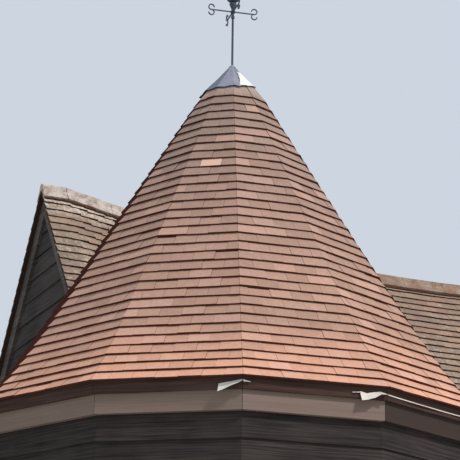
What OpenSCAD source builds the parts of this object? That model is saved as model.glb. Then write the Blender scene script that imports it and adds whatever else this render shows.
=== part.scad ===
// Oast house: a twelve-sided hop kiln with a tiled pyramid roof, lead cap and weathervane,
// standing at the corner of a boarded barn with an old sagging tiled roof.

/* [Kiln plan] */
// Turn of the kiln's corners against the barn, in degrees
kiln_turn = 8.8; // [0:0.1:30]
// Corner radius of the boarded kiln wall
kiln_wall_r = 1990; // [1900:5:2010]
// Corner radius of the lowest tile edge
kiln_eaves_r = 2110; // [2080:5:2250]
// Height of the lowest tile edge above the ground
kiln_eaves_z = 4800; // [4500:10:5400]

/* [Kiln roof] */
// Pitch of the hips above the kicked eaves, in degrees
roof_pitch = 58.6; // [54:0.1:62]
// How much flatter the lowest course lies, in degrees
kick_angle = 12.4; // [0:0.1:16]
// Length of slope over which the kick fades
kick_length = 420; // [200:10:600]
// Visible length of each tile course
tile_gauge = 100; // [95:1:105]
// Number of tile courses below the top course
tile_courses = 33; // [30:1:34]
// Thickness of a tile where it laps the next
tile_t = 14; // [10:1:18]
// Thickness of the kiln roof, tiles and rafters together
kiln_roof_t = 120; // [90:5:160]
// Rise of the short flatter course under the cap
top_course_rise = 105; // [80:5:130]
// Corner radius of the lead cap's lower edge
cap_r = 215; // [180:5:260]
// Height of the lead cap
cap_h = 285; // [240:5:340]
// Upright edge of the lead cap
cap_edge = 12; // [6:1:20]

/* [Kiln eaves] */
// Corner radius of the upper eaves board
fascia_r = 2070; // [2060:5:2075]
// Height of the upper eaves board
fascia_h = 90; // [60:5:120]
// Corner radius of the lower eaves board
frieze_r = 2045; // [2030:5:2055]
// Height of the lower eaves board
frieze_h = 140; // [100:5:200]
// Gap at each mitre of the eaves boards
mitre_gap = 3; // [1:1:6]

/* [Walls] */
// Thickness of a boarded timber wall
wall_t = 150; // [120:5:180]
// Height of the brick plinth
plinth_h = 600; // [450:10:900]
// How far the plinth stands out from the boards
plinth_proud = 40; // [20:5:60]
// Thickness of the brick plinth
plinth_t = 230; // [200:5:260]

/* [Barn] */
// Outer face of the left gable wall, from the kiln's axis
barn_left = -825; // [-1000:5:-600]
// Length of the barn over its gable walls
barn_length = 7700; // [7000:50:9000]
// Outer face of the front wall, from the kiln's axis
barn_front = -100; // [-300:10:200]
// Width of the barn over its walls
barn_width = 4600; // [4300:50:5000]
// Height of the barn's lowest tile edge
barn_eaves_z = 3950; // [3850:10:4100]
// Overhang of the tiles past the long walls
eaves_overhang = 250; // [180:10:350]
// Height where the slopes meet, at the gables
barn_ridge_z = 7410; // [7200:10:7600]
// How far the old ridge sags at the middle
ridge_sag = 400; // [100:10:450]
// Overhang of the tiles past the gable walls
verge_overhang = 80; // [60:5:120]
// Upright thickness of the barn roof
barn_roof_t = 220; // [180:5:260]
// Depth of the rafters' notch over the long walls, at the middle of the sag
rafter_notch = 70; // [60:5:100]
// Upright thickness of the layer of tiles that passes the gables
tile_layer_t = 50; // [40:5:80]
// Number of straight lengths that the sagging roof is made in
sag_steps = 12; // [6:2:16]
// Number of tile courses from the barn's eaves to its ridge
barn_courses = 42; // [36:1:46]
// Thickness of an old tile where it laps the next
barn_tile_t = 15; // [10:1:18]
// Height of the loft floor's top
loft_z = 2600; // [2500:10:2700]
// Thickness of the loft floor
loft_t = 150; // [120:5:200]

/* [Openings] */
// Width of the barn doorway
barn_door_w = 1900; // [1600:10:2100]
// Height of the barn doorway
barn_door_h = 2150; // [2000:10:2300]
// Width of a barn window
window_w = 760; // [600:10:800]
// Height of a barn window
window_h = 820; // [700:10:850]
// Sill height of the ground floor windows
low_sill_z = 1150; // [1000:10:1400]
// Sill height of the loft windows
high_sill_z = 2880; // [2800:10:2950]
// Width of the kiln doorway
kiln_door_w = 720; // [600:10:740]
// Height of the kiln doorway
kiln_door_h = 1950; // [1850:10:2050]
// Side of the small square kiln window
kiln_window_w = 520; // [400:10:560]
// Sill height of the kiln window
kiln_sill_z = 2900; // [2400:10:3400]
// Width of the loft loading doorway
loading_w = 1000; // [800:10:1100]
// Height of the loft loading doorway
loading_h = 1700; // [1500:10:1800]
// Section of a door or window frame
frame_w = 60; // [45:1:80]
// Thickness of a plank door
door_t = 45; // [35:1:60]
// Thickness of a pane
glass_t = 6; // [4:1:10]
// Gap round a door leaf
door_gap = 4; // [3:1:6]
// Width of the stop behind a door leaf
stop_w = 20; // [12:1:30]
// How far doors and windows sit back from the wall's face
reveal = 35; // [20:1:50]

/* [Roof trim] */
// Thickness of a barge board
barge_t = 40; // [25:1:50]
// Depth of a barge board
barge_h = 210; // [150:5:260]
// Length of a ridge tile
ridge_tile_l = 440; // [400:5:480]
// Length of a ridge tile's wing down the slope
ridge_wing = 150; // [120:5:180]
// Thickness of a ridge tile
ridge_tile_t = 26; // [16:1:35]
// Gap between ridge tiles
ridge_joint = 4; // [2:1:8]
// Bed under a ridge tile
ridge_bed = 0.6; // [0.3:0.1:0.9]
// Thickness of the board under the barn's eaves
barn_fascia_t = 30; // [20:1:40]
// Height of the board under the barn's eaves
barn_fascia_h = 130; // [90:5:180]

/* [Weathervane] */
// Radius of the vane's rod
rod_r = 9; // [7:0.5:12]
// Length of the rod above the cap
rod_h = 560; // [500:5:620]
// Length that the rod runs down inside the cap
rod_root = 200; // [150:5:240]
// Reach of a compass arm from the rod
arm_reach = 215; // [180:5:260]
// Height of the compass arms above the cap
arm_z = 485; // [440:5:520]
// Turn of the compass arms, in degrees
arm_turn = -9; // [-45:1:45]
// Side of the square bar of an arm
arm_bar = 9; // [7:0.5:12]
// Outer radius of the scrolls that end an arm
scroll_r = 28; // [22:1:36]
// Height of the collar where the rod thickens, above the cap
collar_z = 425; // [400:5:445]
// Radius of that collar
collar_r = 15; // [13:0.5:20]
// Radius of the stem between collar and bowl
stem_r = 11; // [10:0.5:13]
// Radius of the bowl under the figure
bowl_r = 30; // [24:1:36]
// Radius of the spindle that the figure turns on
spindle_r = 5; // [4:0.5:7]
// Length of that spindle
spindle_h = 110; // [80:5:130]
// Outer radius of the figure's sleeve
sleeve_r = 16; // [14:0.5:20]
// Radius of the figure's round body
body_r = 62; // [50:1:70]
// Thickness of the figure's sheet metal
plate_t = 6; // [3:0.5:10]
// Radius of the head
head_r = 22; // [18:1:28]
// Head's distance in front of the spindle
head_x = 78; // [70:1:90]
// Head's height above the middle of the body
head_z = 98; // [85:1:110]
// Curl radius of the longest tail feather
feather_r = 84; // [70:1:95]
// Turn of the figure at rest, in degrees
vane_turn = 35; // [-180:1:180]

/* [Hidden] */
// Room left round the kiln for whatever meets it, and overshoot of a cut
fit = 0.5;
// Half of the gap between butted pieces
butt = 0.2;
// Radial gap between a spindle or rod and what goes round it
spindle_gap = 0.1;
// Gap under the turning figure
thrust_gap = 0.3;
// Thin gap where a piece beds against a sloping or many-sided one
bedding = 0.2;

// Number of sides of the kiln, each with its own piece of wall and of roof
kiln_sides = 12;
side_angle = 360 / kiln_sides;
half_side = side_angle / 2;
// Sliver left between two sides of the kiln roof, in degrees
roof_seam = 0.02;
function nearest_hip() = min(kiln_turn % side_angle, side_angle - kiln_turn % side_angle);
kiln_reach = kiln_eaves_r * cos(nearest_hip());
barn_right = barn_left + barn_length;
barn_back = barn_front + barn_width;
inner_left = barn_left + wall_t;
inner_right = barn_right - wall_t;
inner_front = barn_front + wall_t;
inner_back = barn_back - wall_t;
ridge_y = barn_front + barn_width / 2;
half_span = barn_width / 2 + eaves_overhang;
verge_left = barn_left - verge_overhang;
verge_right = barn_right + verge_overhang;
site_x = (verge_right - kiln_reach) / 2;
site_y = (barn_back + eaves_overhang - kiln_reach) / 2;

// Kiln roof: edge k is the lower edge of course k, counted up from the eaves
function course_pitch(k) = roof_pitch - kick_angle * exp(-(k + 0.5) * tile_gauge / kick_length);
function edge(k) = k == 0 ? [kiln_eaves_r, kiln_eaves_z]
    : edge(k - 1) + tile_gauge * [-cos(course_pitch(k - 1)), sin(course_pitch(k - 1))];
function inward(k, d) = -d * [sin(course_pitch(k)), cos(course_pitch(k))];
roof_edges = [for (k = [0:tile_courses]) edge(k)];
top_edge = roof_edges[tile_courses];
cap_base_z = top_edge[1] + top_course_rise;
cap_tip_z = cap_base_z + cap_h;

wall_top_z = kiln_eaves_z;
frieze_top_z = kiln_eaves_z - fascia_h;
frieze_base_z = frieze_top_z - frieze_h;
kiln_inner_r = kiln_wall_r - wall_t / cos(half_side);
plinth_r = kiln_wall_r + plinth_proud;

// Barn roof
function sag_share(x) = max(0, min(1, (x - inner_left) / (inner_right - inner_left)));
function ridge_at(x) = barn_ridge_z - 4 * ridge_sag * sag_share(x) * (1 - sag_share(x));
sag_x = [for (i = [0:sag_steps]) inner_left + i * (inner_right - inner_left) / sag_steps];

eave_front = barn_front - eaves_overhang;
eave_back = barn_back + eaves_overhang;
warp_steps = 6;
tile_foot_z = barn_eaves_z - tile_layer_t;
sagged_slope = (barn_ridge_z - ridge_sag - barn_eaves_z) / half_span;
barn_wall_top_z = barn_eaves_z - barn_roof_t + eaves_overhang * sagged_slope + rafter_notch;
ridge_points = [for (x = concat([verge_left], sag_x, [verge_right])) [x, ridge_at(x)]];
function ridge_line(x) = lookup(x, ridge_points);
function slope_line(x) = (ridge_line(x) - barn_eaves_z) / half_span;
slope_xs = concat([verge_left - fit], sag_x, [verge_right + fit]);

arm_level = cap_tip_z + arm_z;
// A window, the doorway and a window share the front wall beside the kiln with even gaps
front_gap = (inner_right - plinth_r - 2 * window_w - barn_door_w - 2 * frame_w) / 4;
front_window_left = plinth_r + front_gap + window_w / 2;
front_window_right = inner_right - front_gap - window_w / 2;
barn_door_x = (front_window_left + front_window_right) / 2;
side_window_y = (plinth_r + inner_back) / 2;
back_bay = (inner_right - inner_left) / 3;
jamb_left = barn_door_x - barn_door_w / 2 - frame_w;
jamb_right = barn_door_x + barn_door_w / 2 + frame_w;
door_facet = 9;
window_facet = 7;

front_windows = [
    [front_window_left, low_sill_z], [front_window_right, low_sill_z],
    for (x = [front_window_left, barn_door_x, front_window_right]) [x, high_sill_z]];
back_windows = [for (z = [low_sill_z, high_sill_z], i = [0:2]) [inner_left + (i + 0.5) * back_bay, z]];
left_windows = [for (z = [low_sill_z, high_sill_z]) [side_window_y, z]];
right_windows = [[ridge_y, low_sill_z]];

// Everything is drawn round the kiln's axis and then set with the whole plan centred
module on_site() translate([-site_x, -site_y, 0]) children();
module round_kiln() rotate([0, 0, kiln_turn]) children();
module on_facet(i) rotate([0, 0, kiln_turn + (i - 0.5) * side_angle]) children();

// Plan of one mitred side, between two corner radii, as seen from above
module side_plan(outer_r, inner_r, gap) {
    trim = gap / 2;
    outer = outer_r * cos(half_side);
    inner = inner_r * cos(half_side);
    polygon([
        [outer, -outer * tan(half_side) + trim], [outer, outer * tan(half_side) - trim],
        [inner, inner * tan(half_side) - trim], [inner, -inner * tan(half_side) + trim]]);
}

module side_board(i, outer_r, inner_r, base_z, height, gap)
    on_facet(i) translate([0, 0, base_z]) linear_extrude(height)
        side_plan(outer_r, inner_r, gap);

// Outside of the whole kiln with a little room, taken away from whatever meets it
module kiln_envelope() {
    g = fit;
    round_kiln() rotate_extrude($fn = kiln_sides) polygon(concat(
        [[0, -fit], [plinth_r + g, -fit], [plinth_r + g, plinth_h + g],
         [kiln_wall_r + g, plinth_h + g], [kiln_wall_r + g, frieze_base_z - g],
         [fascia_r + g, frieze_base_z - g], [fascia_r + g, kiln_eaves_z - g],
         [kiln_eaves_r + g, kiln_eaves_z - g]],
        [for (k = [0:4:tile_courses]) roof_edges[k] + [g, g]],
        [top_edge + [g, g], [0, cap_base_z + g]]));
}
module clear_of_kiln() difference() {
    children();
    kiln_envelope();
}
// The same for what ends below the kiln's eaves
module clear_of_kiln_wall() difference() {
    children();
    round_kiln() translate([0, 0, -fit])
        cylinder(h = plinth_h + 2 * fit, r = plinth_r + fit, $fn = kiln_sides);
    round_kiln() cylinder(h = frieze_base_z, r = kiln_wall_r + fit, $fn = kiln_sides);
}

module kiln_plinth() color("#8c5a44") on_site() for (i = [1:kiln_sides])
    if (i != door_facet)
        side_board(i, plinth_r, plinth_r - plinth_t / cos(half_side), 0, plinth_h, mitre_gap);

// A straight cut through one side of the kiln
module facet_cut(i, width, base_z, height)
    on_facet(i) translate([kiln_inner_r - wall_t, -width / 2, base_z])
        cube([3 * wall_t, width, height]);

module kiln_wall(i) color("#33291f") on_site() difference() {
    foot_z = i == door_facet ? 0 : plinth_h;
    side_board(i, kiln_wall_r, kiln_inner_r, foot_z, wall_top_z - bedding - foot_z, 2 * butt);
    if (i == door_facet)
        facet_cut(i, kiln_door_w + 2 * frame_w, -fit, kiln_door_h + frame_w + fit);
    if (i == window_facet) facet_cut(i, kiln_window_w, kiln_sill_z, kiln_window_w);
}

module kiln_frieze() color("#5c4d45") on_site() for (i = [1:kiln_sides])
    side_board(i, frieze_r, kiln_wall_r + 2 * butt, frieze_base_z, frieze_h, mitre_gap);

module kiln_fascia() color("#3a2c29") on_site() for (i = [1:kiln_sides])
    side_board(i, fascia_r, kiln_wall_r + 2 * butt, frieze_top_z, fascia_h - bedding, mitre_gap);

// Every course is one step of the outline, which is turned through one side of the kiln
module kiln_roof(i) color("#a9705a") on_site() on_facet(i) rotate([0, 0, roof_seam / 2 - half_side])
    rotate_extrude(angle = side_angle - roof_seam, $fn = kiln_sides) polygon(concat(
        [for (k = [0:tile_courses - 1]) each [
            roof_edges[k], roof_edges[k + 1] + inward(k, tile_t)]],
        [top_edge, [cap_r, cap_base_z], [cap_r - kiln_roof_t, cap_base_z]],
        [for (k = [tile_courses:-3:4]) roof_edges[k] + inward(k, kiln_roof_t)],
        [[kiln_inner_r, wall_top_z]]));

module lead_cap() color("#9a9da3") on_site() difference() {
    round_kiln() rotate_extrude($fn = kiln_sides)
        polygon([[0, cap_base_z + bedding], [cap_r, cap_base_z + bedding],
            [cap_r, cap_base_z + cap_edge],
            [rod_r + cap_edge, cap_tip_z], [0, cap_tip_z]]);
    translate([0, 0, cap_tip_z - rod_root]) cylinder(h = rod_root + fit, r = rod_r + spindle_gap);
}

// Doors and windows are drawn with X across, Y into the wall from its outer face and Z up
module in_kiln_side(i) on_facet(i) translate([kiln_wall_r * cos(half_side), 0, 0])
    rotate([0, 0, 90]) children();
module in_front(x) translate([x, barn_front, 0]) children();
module in_back(x) translate([x, barn_back, 0]) rotate([0, 0, 180]) children();
module in_left(y) translate([barn_left, y, 0]) rotate([0, 0, -90]) children();
module in_right(y) translate([barn_right, y, 0]) rotate([0, 0, 90]) children();

// Frame with a stop behind the leaf, standing on its sill or on the ground
module door_frame(width, height) difference() {
    translate([-width / 2 - frame_w, reveal, 0])
        cube([width + 2 * frame_w, wall_t - reveal, height + frame_w]);
    translate([-width / 2, 0, -fit]) cube([width, reveal + door_t, height + fit]);
    translate([-width / 2 + stop_w, 0, -fit])
        cube([width - 2 * stop_w, wall_t + fit, height - stop_w + fit]);
}
module leaf(x0, x1, height) translate([x0 + door_gap, reveal, door_gap])
    cube([x1 - x0 - 2 * door_gap, door_t, height - 2 * door_gap]);
module window_hole(sill, w, h) translate([-w / 2, -plinth_t, sill])
    cube([w, 2 * plinth_t, h]);
module window_frame(sill, w, h) translate([0, 0, sill]) difference() {
    translate([-w / 2, reveal, 0]) cube([w, frame_w, h]);
    translate([-w / 2 + frame_w, 0, frame_w]) cube([w - 2 * frame_w, wall_t, h - 2 * frame_w]);
}
module pane(sill, w, h) translate([-w / 2 + frame_w, reveal + frame_w / 2, sill + frame_w])
    cube([w - 2 * frame_w, glass_t, h - 2 * frame_w]);

module kiln_door() color("#3f342b") on_site() in_kiln_side(door_facet) {
    door_frame(kiln_door_w, kiln_door_h);
    leaf(-kiln_door_w / 2, kiln_door_w / 2, kiln_door_h);
}
module kiln_window_frame() color("#d8d4c8") on_site() in_kiln_side(window_facet)
    window_frame(kiln_sill_z, kiln_window_w, kiln_window_w);
module kiln_window_glass() color("#7d8f99") on_site() in_kiln_side(window_facet)
    pane(kiln_sill_z, kiln_window_w, kiln_window_w);

// Rod with a bowl that widens to carry the turning figure, and a thin spindle above it
module vane_rod() color("#3b4048") on_site() translate([0, 0, cap_tip_z]) rotate_extrude($fn = 48)
    polygon([[0, -rod_root], [rod_r, -rod_root], [rod_r, collar_z], [collar_r, collar_z],
        [collar_r, collar_z + 2 * arm_bar], [stem_r, collar_z + 2 * arm_bar], [stem_r, arm_z + 2 * arm_bar],
        [bowl_r, rod_h - arm_bar], [bowl_r, rod_h], [spindle_r, rod_h],
        [spindle_r, rod_h + spindle_h], [0, rod_h + spindle_h]]);

module scroll(r) difference() {
    circle(r = r, $fn = 32);
    circle(r = r - arm_bar, $fn = 32);
    rotate(-90) translate([0, -r]) square([r + fit, r]);
}
// One arm ends in a pair of reversed scrolls and a point
module arm() {
    translate([0, -arm_bar / 2, -arm_bar / 2]) cube([arm_reach - scroll_r, arm_bar, arm_bar]);
    translate([arm_reach - scroll_r, arm_bar / 2, 0]) rotate([90, 0, 0]) linear_extrude(arm_bar) {
        translate([0, scroll_r - arm_bar / 2]) scroll(scroll_r);
        translate([0, -scroll_r + arm_bar / 2]) rotate(180) scroll(scroll_r);
    }
}
module compass_arms() color("#3b4048") on_site() translate([0, 0, arm_level]) rotate([0, 0, arm_turn])
    difference() {
        union() {
            cylinder(h = 2 * arm_bar, r = stem_r + arm_bar, center = true);
            for (i = [0:3]) rotate([0, 0, 90 * i]) arm();
        }
        cylinder(h = 4 * arm_bar, r = stem_r + spindle_gap, center = true);
    }

// Cockerel on a sleeve that turns on the spindle, its head towards +X before the turn
body_z = body_r + sleeve_r / 2;
module weathervane() color("#33383d") on_site() translate([0, 0, cap_tip_z + rod_h + thrust_gap])
    rotate([0, 0, vane_turn]) difference() {
        union() {
            cylinder(h = body_z, r = sleeve_r);
            translate([0, 0, body_z]) {
                sphere(r = body_r, $fn = 32);
                rotate([90, 0, 0]) translate([0, 0, -plate_t / 2]) linear_extrude(plate_t)
                    cockerel_outline();
            }
        }
        translate([0, 0, -fit]) cylinder(h = spindle_h + 2 * fit, r = spindle_r + spindle_gap);
    }
module cockerel_outline() {
    circle(r = body_r - fit, $fn = 48);
    polygon([[-10, 50], [50, 10], [62, 20], [head_x + head_r, head_z], [head_x - head_r, head_z]]);
    translate([head_x, head_z]) {
        circle(r = head_r, $fn = 32);
        polygon([[0, 12], [2 * head_r, 0], [0, -14]]);
        for (a = [60:30:150]) rotate(a) translate([head_r, 0]) circle(r = head_r / 2.2, $fn = 24);
        translate([head_r / 2, -head_r]) circle(r = head_r / 2.2, $fn = 24);
    }
    for (i = [0:3]) translate([-body_r / 2, body_r / 4]) rotate(24 - 26 * i)
        feather(feather_r - 14 * i);
}
// Crescent that starts upright at the origin and curls back to a point
module feather(r) intersection() {
    difference() {
        translate([-r, 0]) circle(r = r, $fn = 64);
        translate([-r - 16, 0]) circle(r = r - 5.5, $fn = 64);
    }
    translate([-3 * r, -body_r / 4]) square([4 * r, 2 * r]);
}

module barn_box(x0, x1, y0, y1, z0, z1) translate([x0, y0, z0]) cube([x1 - x0, y1 - y0, z1 - z0]);

// Walls stand on the plinth between the gables, and the kiln cuts through the front corner
module yz_slab(x, thickness) translate([x, 0, 0]) rotate([90, 0, 90])
    linear_extrude(thickness) children();

module plinth_run(x0, x1, y0, y1) barn_box(x0, x1, y0, y1, 0, plinth_h);
module barn_plinth() color("#8c5a44") on_site() clear_of_kiln_wall() {
    x0 = barn_left - plinth_proud;
    x1 = barn_right + plinth_proud;
    y0 = barn_front - plinth_proud;
    y1 = barn_back + plinth_proud;
    plinth_run(x0, x0 + plinth_t, y0, y1);
    plinth_run(x1 - plinth_t, x1, y0, y1);
    long_x0 = x0 + plinth_t + mitre_gap;
    long_x1 = x1 - plinth_t - mitre_gap;
    plinth_run(long_x0, long_x1, y1 - plinth_t, y1);
    plinth_run(long_x0, jamb_left - butt, y0, y0 + plinth_t);
    plinth_run(jamb_right + butt, long_x1, y0, y0 + plinth_t);
}

module front_wall(x0, x1, z0) difference() {
    barn_box(x0, x1, barn_front, inner_front, z0, barn_wall_top_z);
    for (w = front_windows) in_front(w[0]) window_hole(w[1], window_w, window_h);
}
module front_wall_left() color("#33291f") on_site() clear_of_kiln_wall()
    front_wall(inner_left, jamb_left, plinth_h);
module front_wall_over_door() color("#33291f") on_site()
    front_wall(jamb_left, jamb_right, barn_door_h + frame_w);
module front_wall_right() color("#33291f") on_site()
    front_wall(jamb_right, inner_right, plinth_h);

module back_wall() color("#33291f") on_site() difference() {
    barn_box(inner_left, inner_right, inner_back, barn_back, plinth_h, barn_wall_top_z);
    for (w = back_windows) in_back(w[0]) window_hole(w[1], window_w, window_h);
}

// A gable wall reaches the rafters' underside above the notch
gable_slope = slope_line(barn_left);
notch_end = (barn_wall_top_z - barn_eaves_z + barn_roof_t + bedding) / gable_slope;
module gable_outline() polygon([
    [barn_front, plinth_h], [barn_front, barn_wall_top_z],
    [eave_front + notch_end, barn_wall_top_z], [ridge_y, barn_ridge_z - barn_roof_t - bedding],
    [eave_back - notch_end, barn_wall_top_z], [barn_back, barn_wall_top_z],
    [barn_back, plinth_h]]);
module left_gable() color("#33291f") on_site() clear_of_kiln() difference() {
    yz_slab(barn_left, wall_t) gable_outline();
    for (w = left_windows) in_left(w[0]) window_hole(w[1], window_w, window_h);
}
module right_gable() color("#33291f") on_site() difference() {
    yz_slab(inner_right, wall_t) gable_outline();
    for (w = right_windows) in_right(w[0]) window_hole(w[1], window_w, window_h);
    in_right(ridge_y) window_hole(loft_z, loading_w + 2 * frame_w, loading_h + frame_w);
}
module loft_floor() color("#8a7458") on_site() clear_of_kiln_wall()
    barn_box(inner_left, inner_right, inner_front, inner_back, loft_z - loft_t, loft_z);

// Solid through upright sections, one list of [y, z] points at each x. Points up to number
// `turn` run up the slope and the rest run down it, so both faces of a warped layer split alike
module loft(xs, sections, turn) {
    n = len(sections[0]);
    last = len(xs) - 1;
    points = [for (i = [0:last]) for (p = sections[i]) [xs[i], p[0], p[1]]];
    faces = concat(
        [[for (j = [n - 1:-1:0]) j]],
        [[for (j = [0:n - 1]) last * n + j]],
        [for (i = [0:last - 1]) for (j = [0:n - 1])
            let (a = i * n + j, b = i * n + (j + 1) % n, c = a + n, d = b + n)
            each (j < turn ? [[a, b, c], [c, b, d]] : [[a, d, c], [a, b, d]])]);
    polyhedron(points, faces);
}

// Points on the front slope, a horizontal distance up from the lowest tile edge
function slope_point(x, from_eaves, drop) = [
    eave_front + from_eaves, barn_eaves_z + from_eaves * slope_line(x) - drop];
function lay(x, drop) = [for (k = [0:warp_steps])
    slope_point(x, k * half_span / warp_steps, drop)];
function reversed(list) = [for (i = [len(list) - 1:-1:0]) list[i]];
function course_back(x, k) = let (pitch = atan(slope_line(x)))
    slope_point(x, min(half_span, k * half_span / barn_courses + barn_tile_t * sin(pitch)),
        barn_tile_t / cos(pitch));

// Old tiles in stepped courses over battens, cut off straight at both verges
function tile_section(x) = concat(
    [for (k = [0:barn_courses - 1]) each [
        slope_point(x, k * half_span / barn_courses, 0), course_back(x, k + 1)]],
    reversed(lay(x, tile_layer_t)));
module tile_slope() intersection() {
    loft(slope_xs, [for (x = slope_xs) tile_section(x)], 2 * barn_courses - 1);
    barn_box(verge_left, verge_right, eave_front - fit, ridge_y + fit,
        tile_foot_z - fit, barn_ridge_z + fit);
}
// Rafters and boarding: an even layer, notched over the wall and cut off behind the eaves board
module rafter_slope() intersection() {
    loft(slope_xs,
        [for (x = slope_xs) concat(lay(x, tile_layer_t), reversed(lay(x, barn_roof_t)))],
        warp_steps);
    yz_slab(barn_left, barn_length) rafter_room();
}
module rafter_room() {
    tail_y = eave_front + barn_fascia_t + butt;
    polygon([[tail_y, loft_z], [tail_y, barn_ridge_z], [inner_back, barn_ridge_z],
        [inner_back, barn_wall_top_z], [barn_front, barn_wall_top_z], [barn_front, loft_z]]);
}
// The roof sags evenly about its middle, so the back slope is the front one turned round
module to_back() translate([barn_left + barn_right, 2 * ridge_y, 0]) rotate([0, 0, 180])
    children();

module barn_tiles_front() color("#7d6a5a") on_site() clear_of_kiln() tile_slope();
module barn_tiles_back() color("#7d6a5a") on_site() to_back() tile_slope();
module barn_rafters_front() color("#6e5a45") on_site() clear_of_kiln() rafter_slope();
module barn_rafters_back() color("#6e5a45") on_site() to_back() rafter_slope();

// Ridge tiles bed on both slopes and follow the sag, with a cut tile over each gable
ridge_count = round((inner_right - inner_left) / ridge_tile_l);
ridge_step = (inner_right - inner_left) / ridge_count;
ridge_joints = concat([verge_left],
    [for (i = [0:ridge_count]) inner_left + i * ridge_step], [verge_right]);
function ridge_section(x, slope) =
    let (a = atan(slope), t = ridge_tile_t, z = ridge_line(x) + ridge_bed,
        w = ridge_wing * cos(a), wing_z = z - w * slope, roll_z = z + t / cos(a) - 2 * t * slope)
    [[ridge_y - w, wing_z], [ridge_y - w - t * sin(a), wing_z + t * cos(a)],
     [ridge_y - 2 * t, roll_z],
     for (i = [-3:3]) let (b = i * a / 3) [ridge_y + 2 * t * sin(b), z + t / 2 + 2 * t * (cos(b) - cos(a))],
     [ridge_y + 2 * t, roll_z],
     [ridge_y + w + t * sin(a), wing_z + t * cos(a)], [ridge_y + w, wing_z],
     [ridge_y, z]];
module ridge_tiles() color("#a59a86") on_site() for (i = [0:ridge_count + 1]) {
    x0 = ridge_joints[i] + ridge_joint / 2;
    x1 = ridge_joints[i + 1] - ridge_joint / 2;
    slope = min(slope_line(x0), slope_line(x1), slope_line((x0 + x1) / 2));
    loft([x0, x1], [ridge_section(x0, slope), ridge_section(x1, slope)], 0);
}

module barge_outline(side) {
    peak_z = barn_ridge_z - tile_layer_t - bedding - butt * gable_slope;
    foot_z = tile_foot_z - bedding;
    polygon([[ridge_y - side * half_span, foot_z], [ridge_y - side * butt, peak_z],
        [ridge_y - side * butt, peak_z - barge_h],
        [ridge_y - side * half_span, foot_z - barge_h]]);
}
module left_barge_boards() color("#8d8d88") on_site() clear_of_kiln()
    for (side = [-1, 1]) yz_slab(barn_left - barge_t, barge_t) barge_outline(side);
module right_barge_boards() color("#8d8d88") on_site()
    for (side = [-1, 1]) yz_slab(barn_right, barge_t) barge_outline(side);
module barn_fascias() color("#3a2c29") on_site() clear_of_kiln_wall() {
    z0 = tile_foot_z - barn_fascia_h;
    barn_box(barn_left, barn_right, eave_front, eave_front + barn_fascia_t, z0, tile_foot_z);
    barn_box(barn_left, barn_right, eave_back - barn_fascia_t, eave_back, z0, tile_foot_z);
}

module barn_door_frame() color("#3f342b") on_site() in_front(barn_door_x)
    door_frame(barn_door_w, barn_door_h);
module barn_door_left_leaf() color("#4a3b2e") on_site() in_front(barn_door_x)
    leaf(-barn_door_w / 2, 0, barn_door_h);
module barn_door_right_leaf() color("#4a3b2e") on_site() in_front(barn_door_x)
    leaf(0, barn_door_w / 2, barn_door_h);
module loading_door() color("#4a3b2e") on_site() in_right(ridge_y) translate([0, 0, loft_z]) {
    door_frame(loading_w, loading_h);
    leaf(-loading_w / 2, loading_w / 2, loading_h);
}

module all_barn_windows() {
    for (w = front_windows) in_front(w[0]) translate([0, 0, w[1]]) children();
    for (w = back_windows) in_back(w[0]) translate([0, 0, w[1]]) children();
    for (w = left_windows) in_left(w[0]) translate([0, 0, w[1]]) children();
    for (w = right_windows) in_right(w[0]) translate([0, 0, w[1]]) children();
}
module barn_window_frames() color("#d8d4c8") on_site() all_barn_windows()
    window_frame(0, window_w, window_h);
module barn_window_glass() color("#7d8f99") on_site() all_barn_windows()
    pane(0, window_w, window_h);

kiln_plinth();
kiln_wall(1);  // kiln_wall_1
kiln_wall(2);  // kiln_wall_2
kiln_wall(3);  // kiln_wall_3
kiln_wall(4);  // kiln_wall_4
kiln_wall(5);  // kiln_wall_5
kiln_wall(6);  // kiln_wall_6
kiln_wall(7);  // kiln_wall_7
kiln_wall(8);  // kiln_wall_8
kiln_wall(9);  // kiln_wall_9
kiln_wall(10);  // kiln_wall_10
kiln_wall(11);  // kiln_wall_11
kiln_wall(12);  // kiln_wall_12
kiln_frieze();
kiln_fascia();
kiln_roof(1);  // kiln_roof_1
kiln_roof(2);  // kiln_roof_2
kiln_roof(3);  // kiln_roof_3
kiln_roof(4);  // kiln_roof_4
kiln_roof(5);  // kiln_roof_5
kiln_roof(6);  // kiln_roof_6
kiln_roof(7);  // kiln_roof_7
kiln_roof(8);  // kiln_roof_8
kiln_roof(9);  // kiln_roof_9
kiln_roof(10);  // kiln_roof_10
kiln_roof(11);  // kiln_roof_11
kiln_roof(12);  // kiln_roof_12
lead_cap();
kiln_door();
kiln_window_frame();
kiln_window_glass();
vane_rod();
compass_arms();
weathervane();
barn_plinth();
front_wall_left();
front_wall_over_door();
front_wall_right();
back_wall();
left_gable();
right_gable();
loft_floor();
barn_tiles_front();
barn_tiles_back();
barn_rafters_front();
barn_rafters_back();
ridge_tiles();
left_barge_boards();
right_barge_boards();
barn_fascias();
barn_door_frame();
barn_door_left_leaf();
barn_door_right_leaf();
loading_door();
barn_window_frames();
barn_window_glass();
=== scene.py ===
"""Oast house: the finishes and the small pieces that dress the solid model.

Tiles, bricks, boards, joinery, leadwork and ironwork are laid on the solids true to
scale, in metres, and every solid that stays in view gets a finish of its own.
"""

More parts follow.
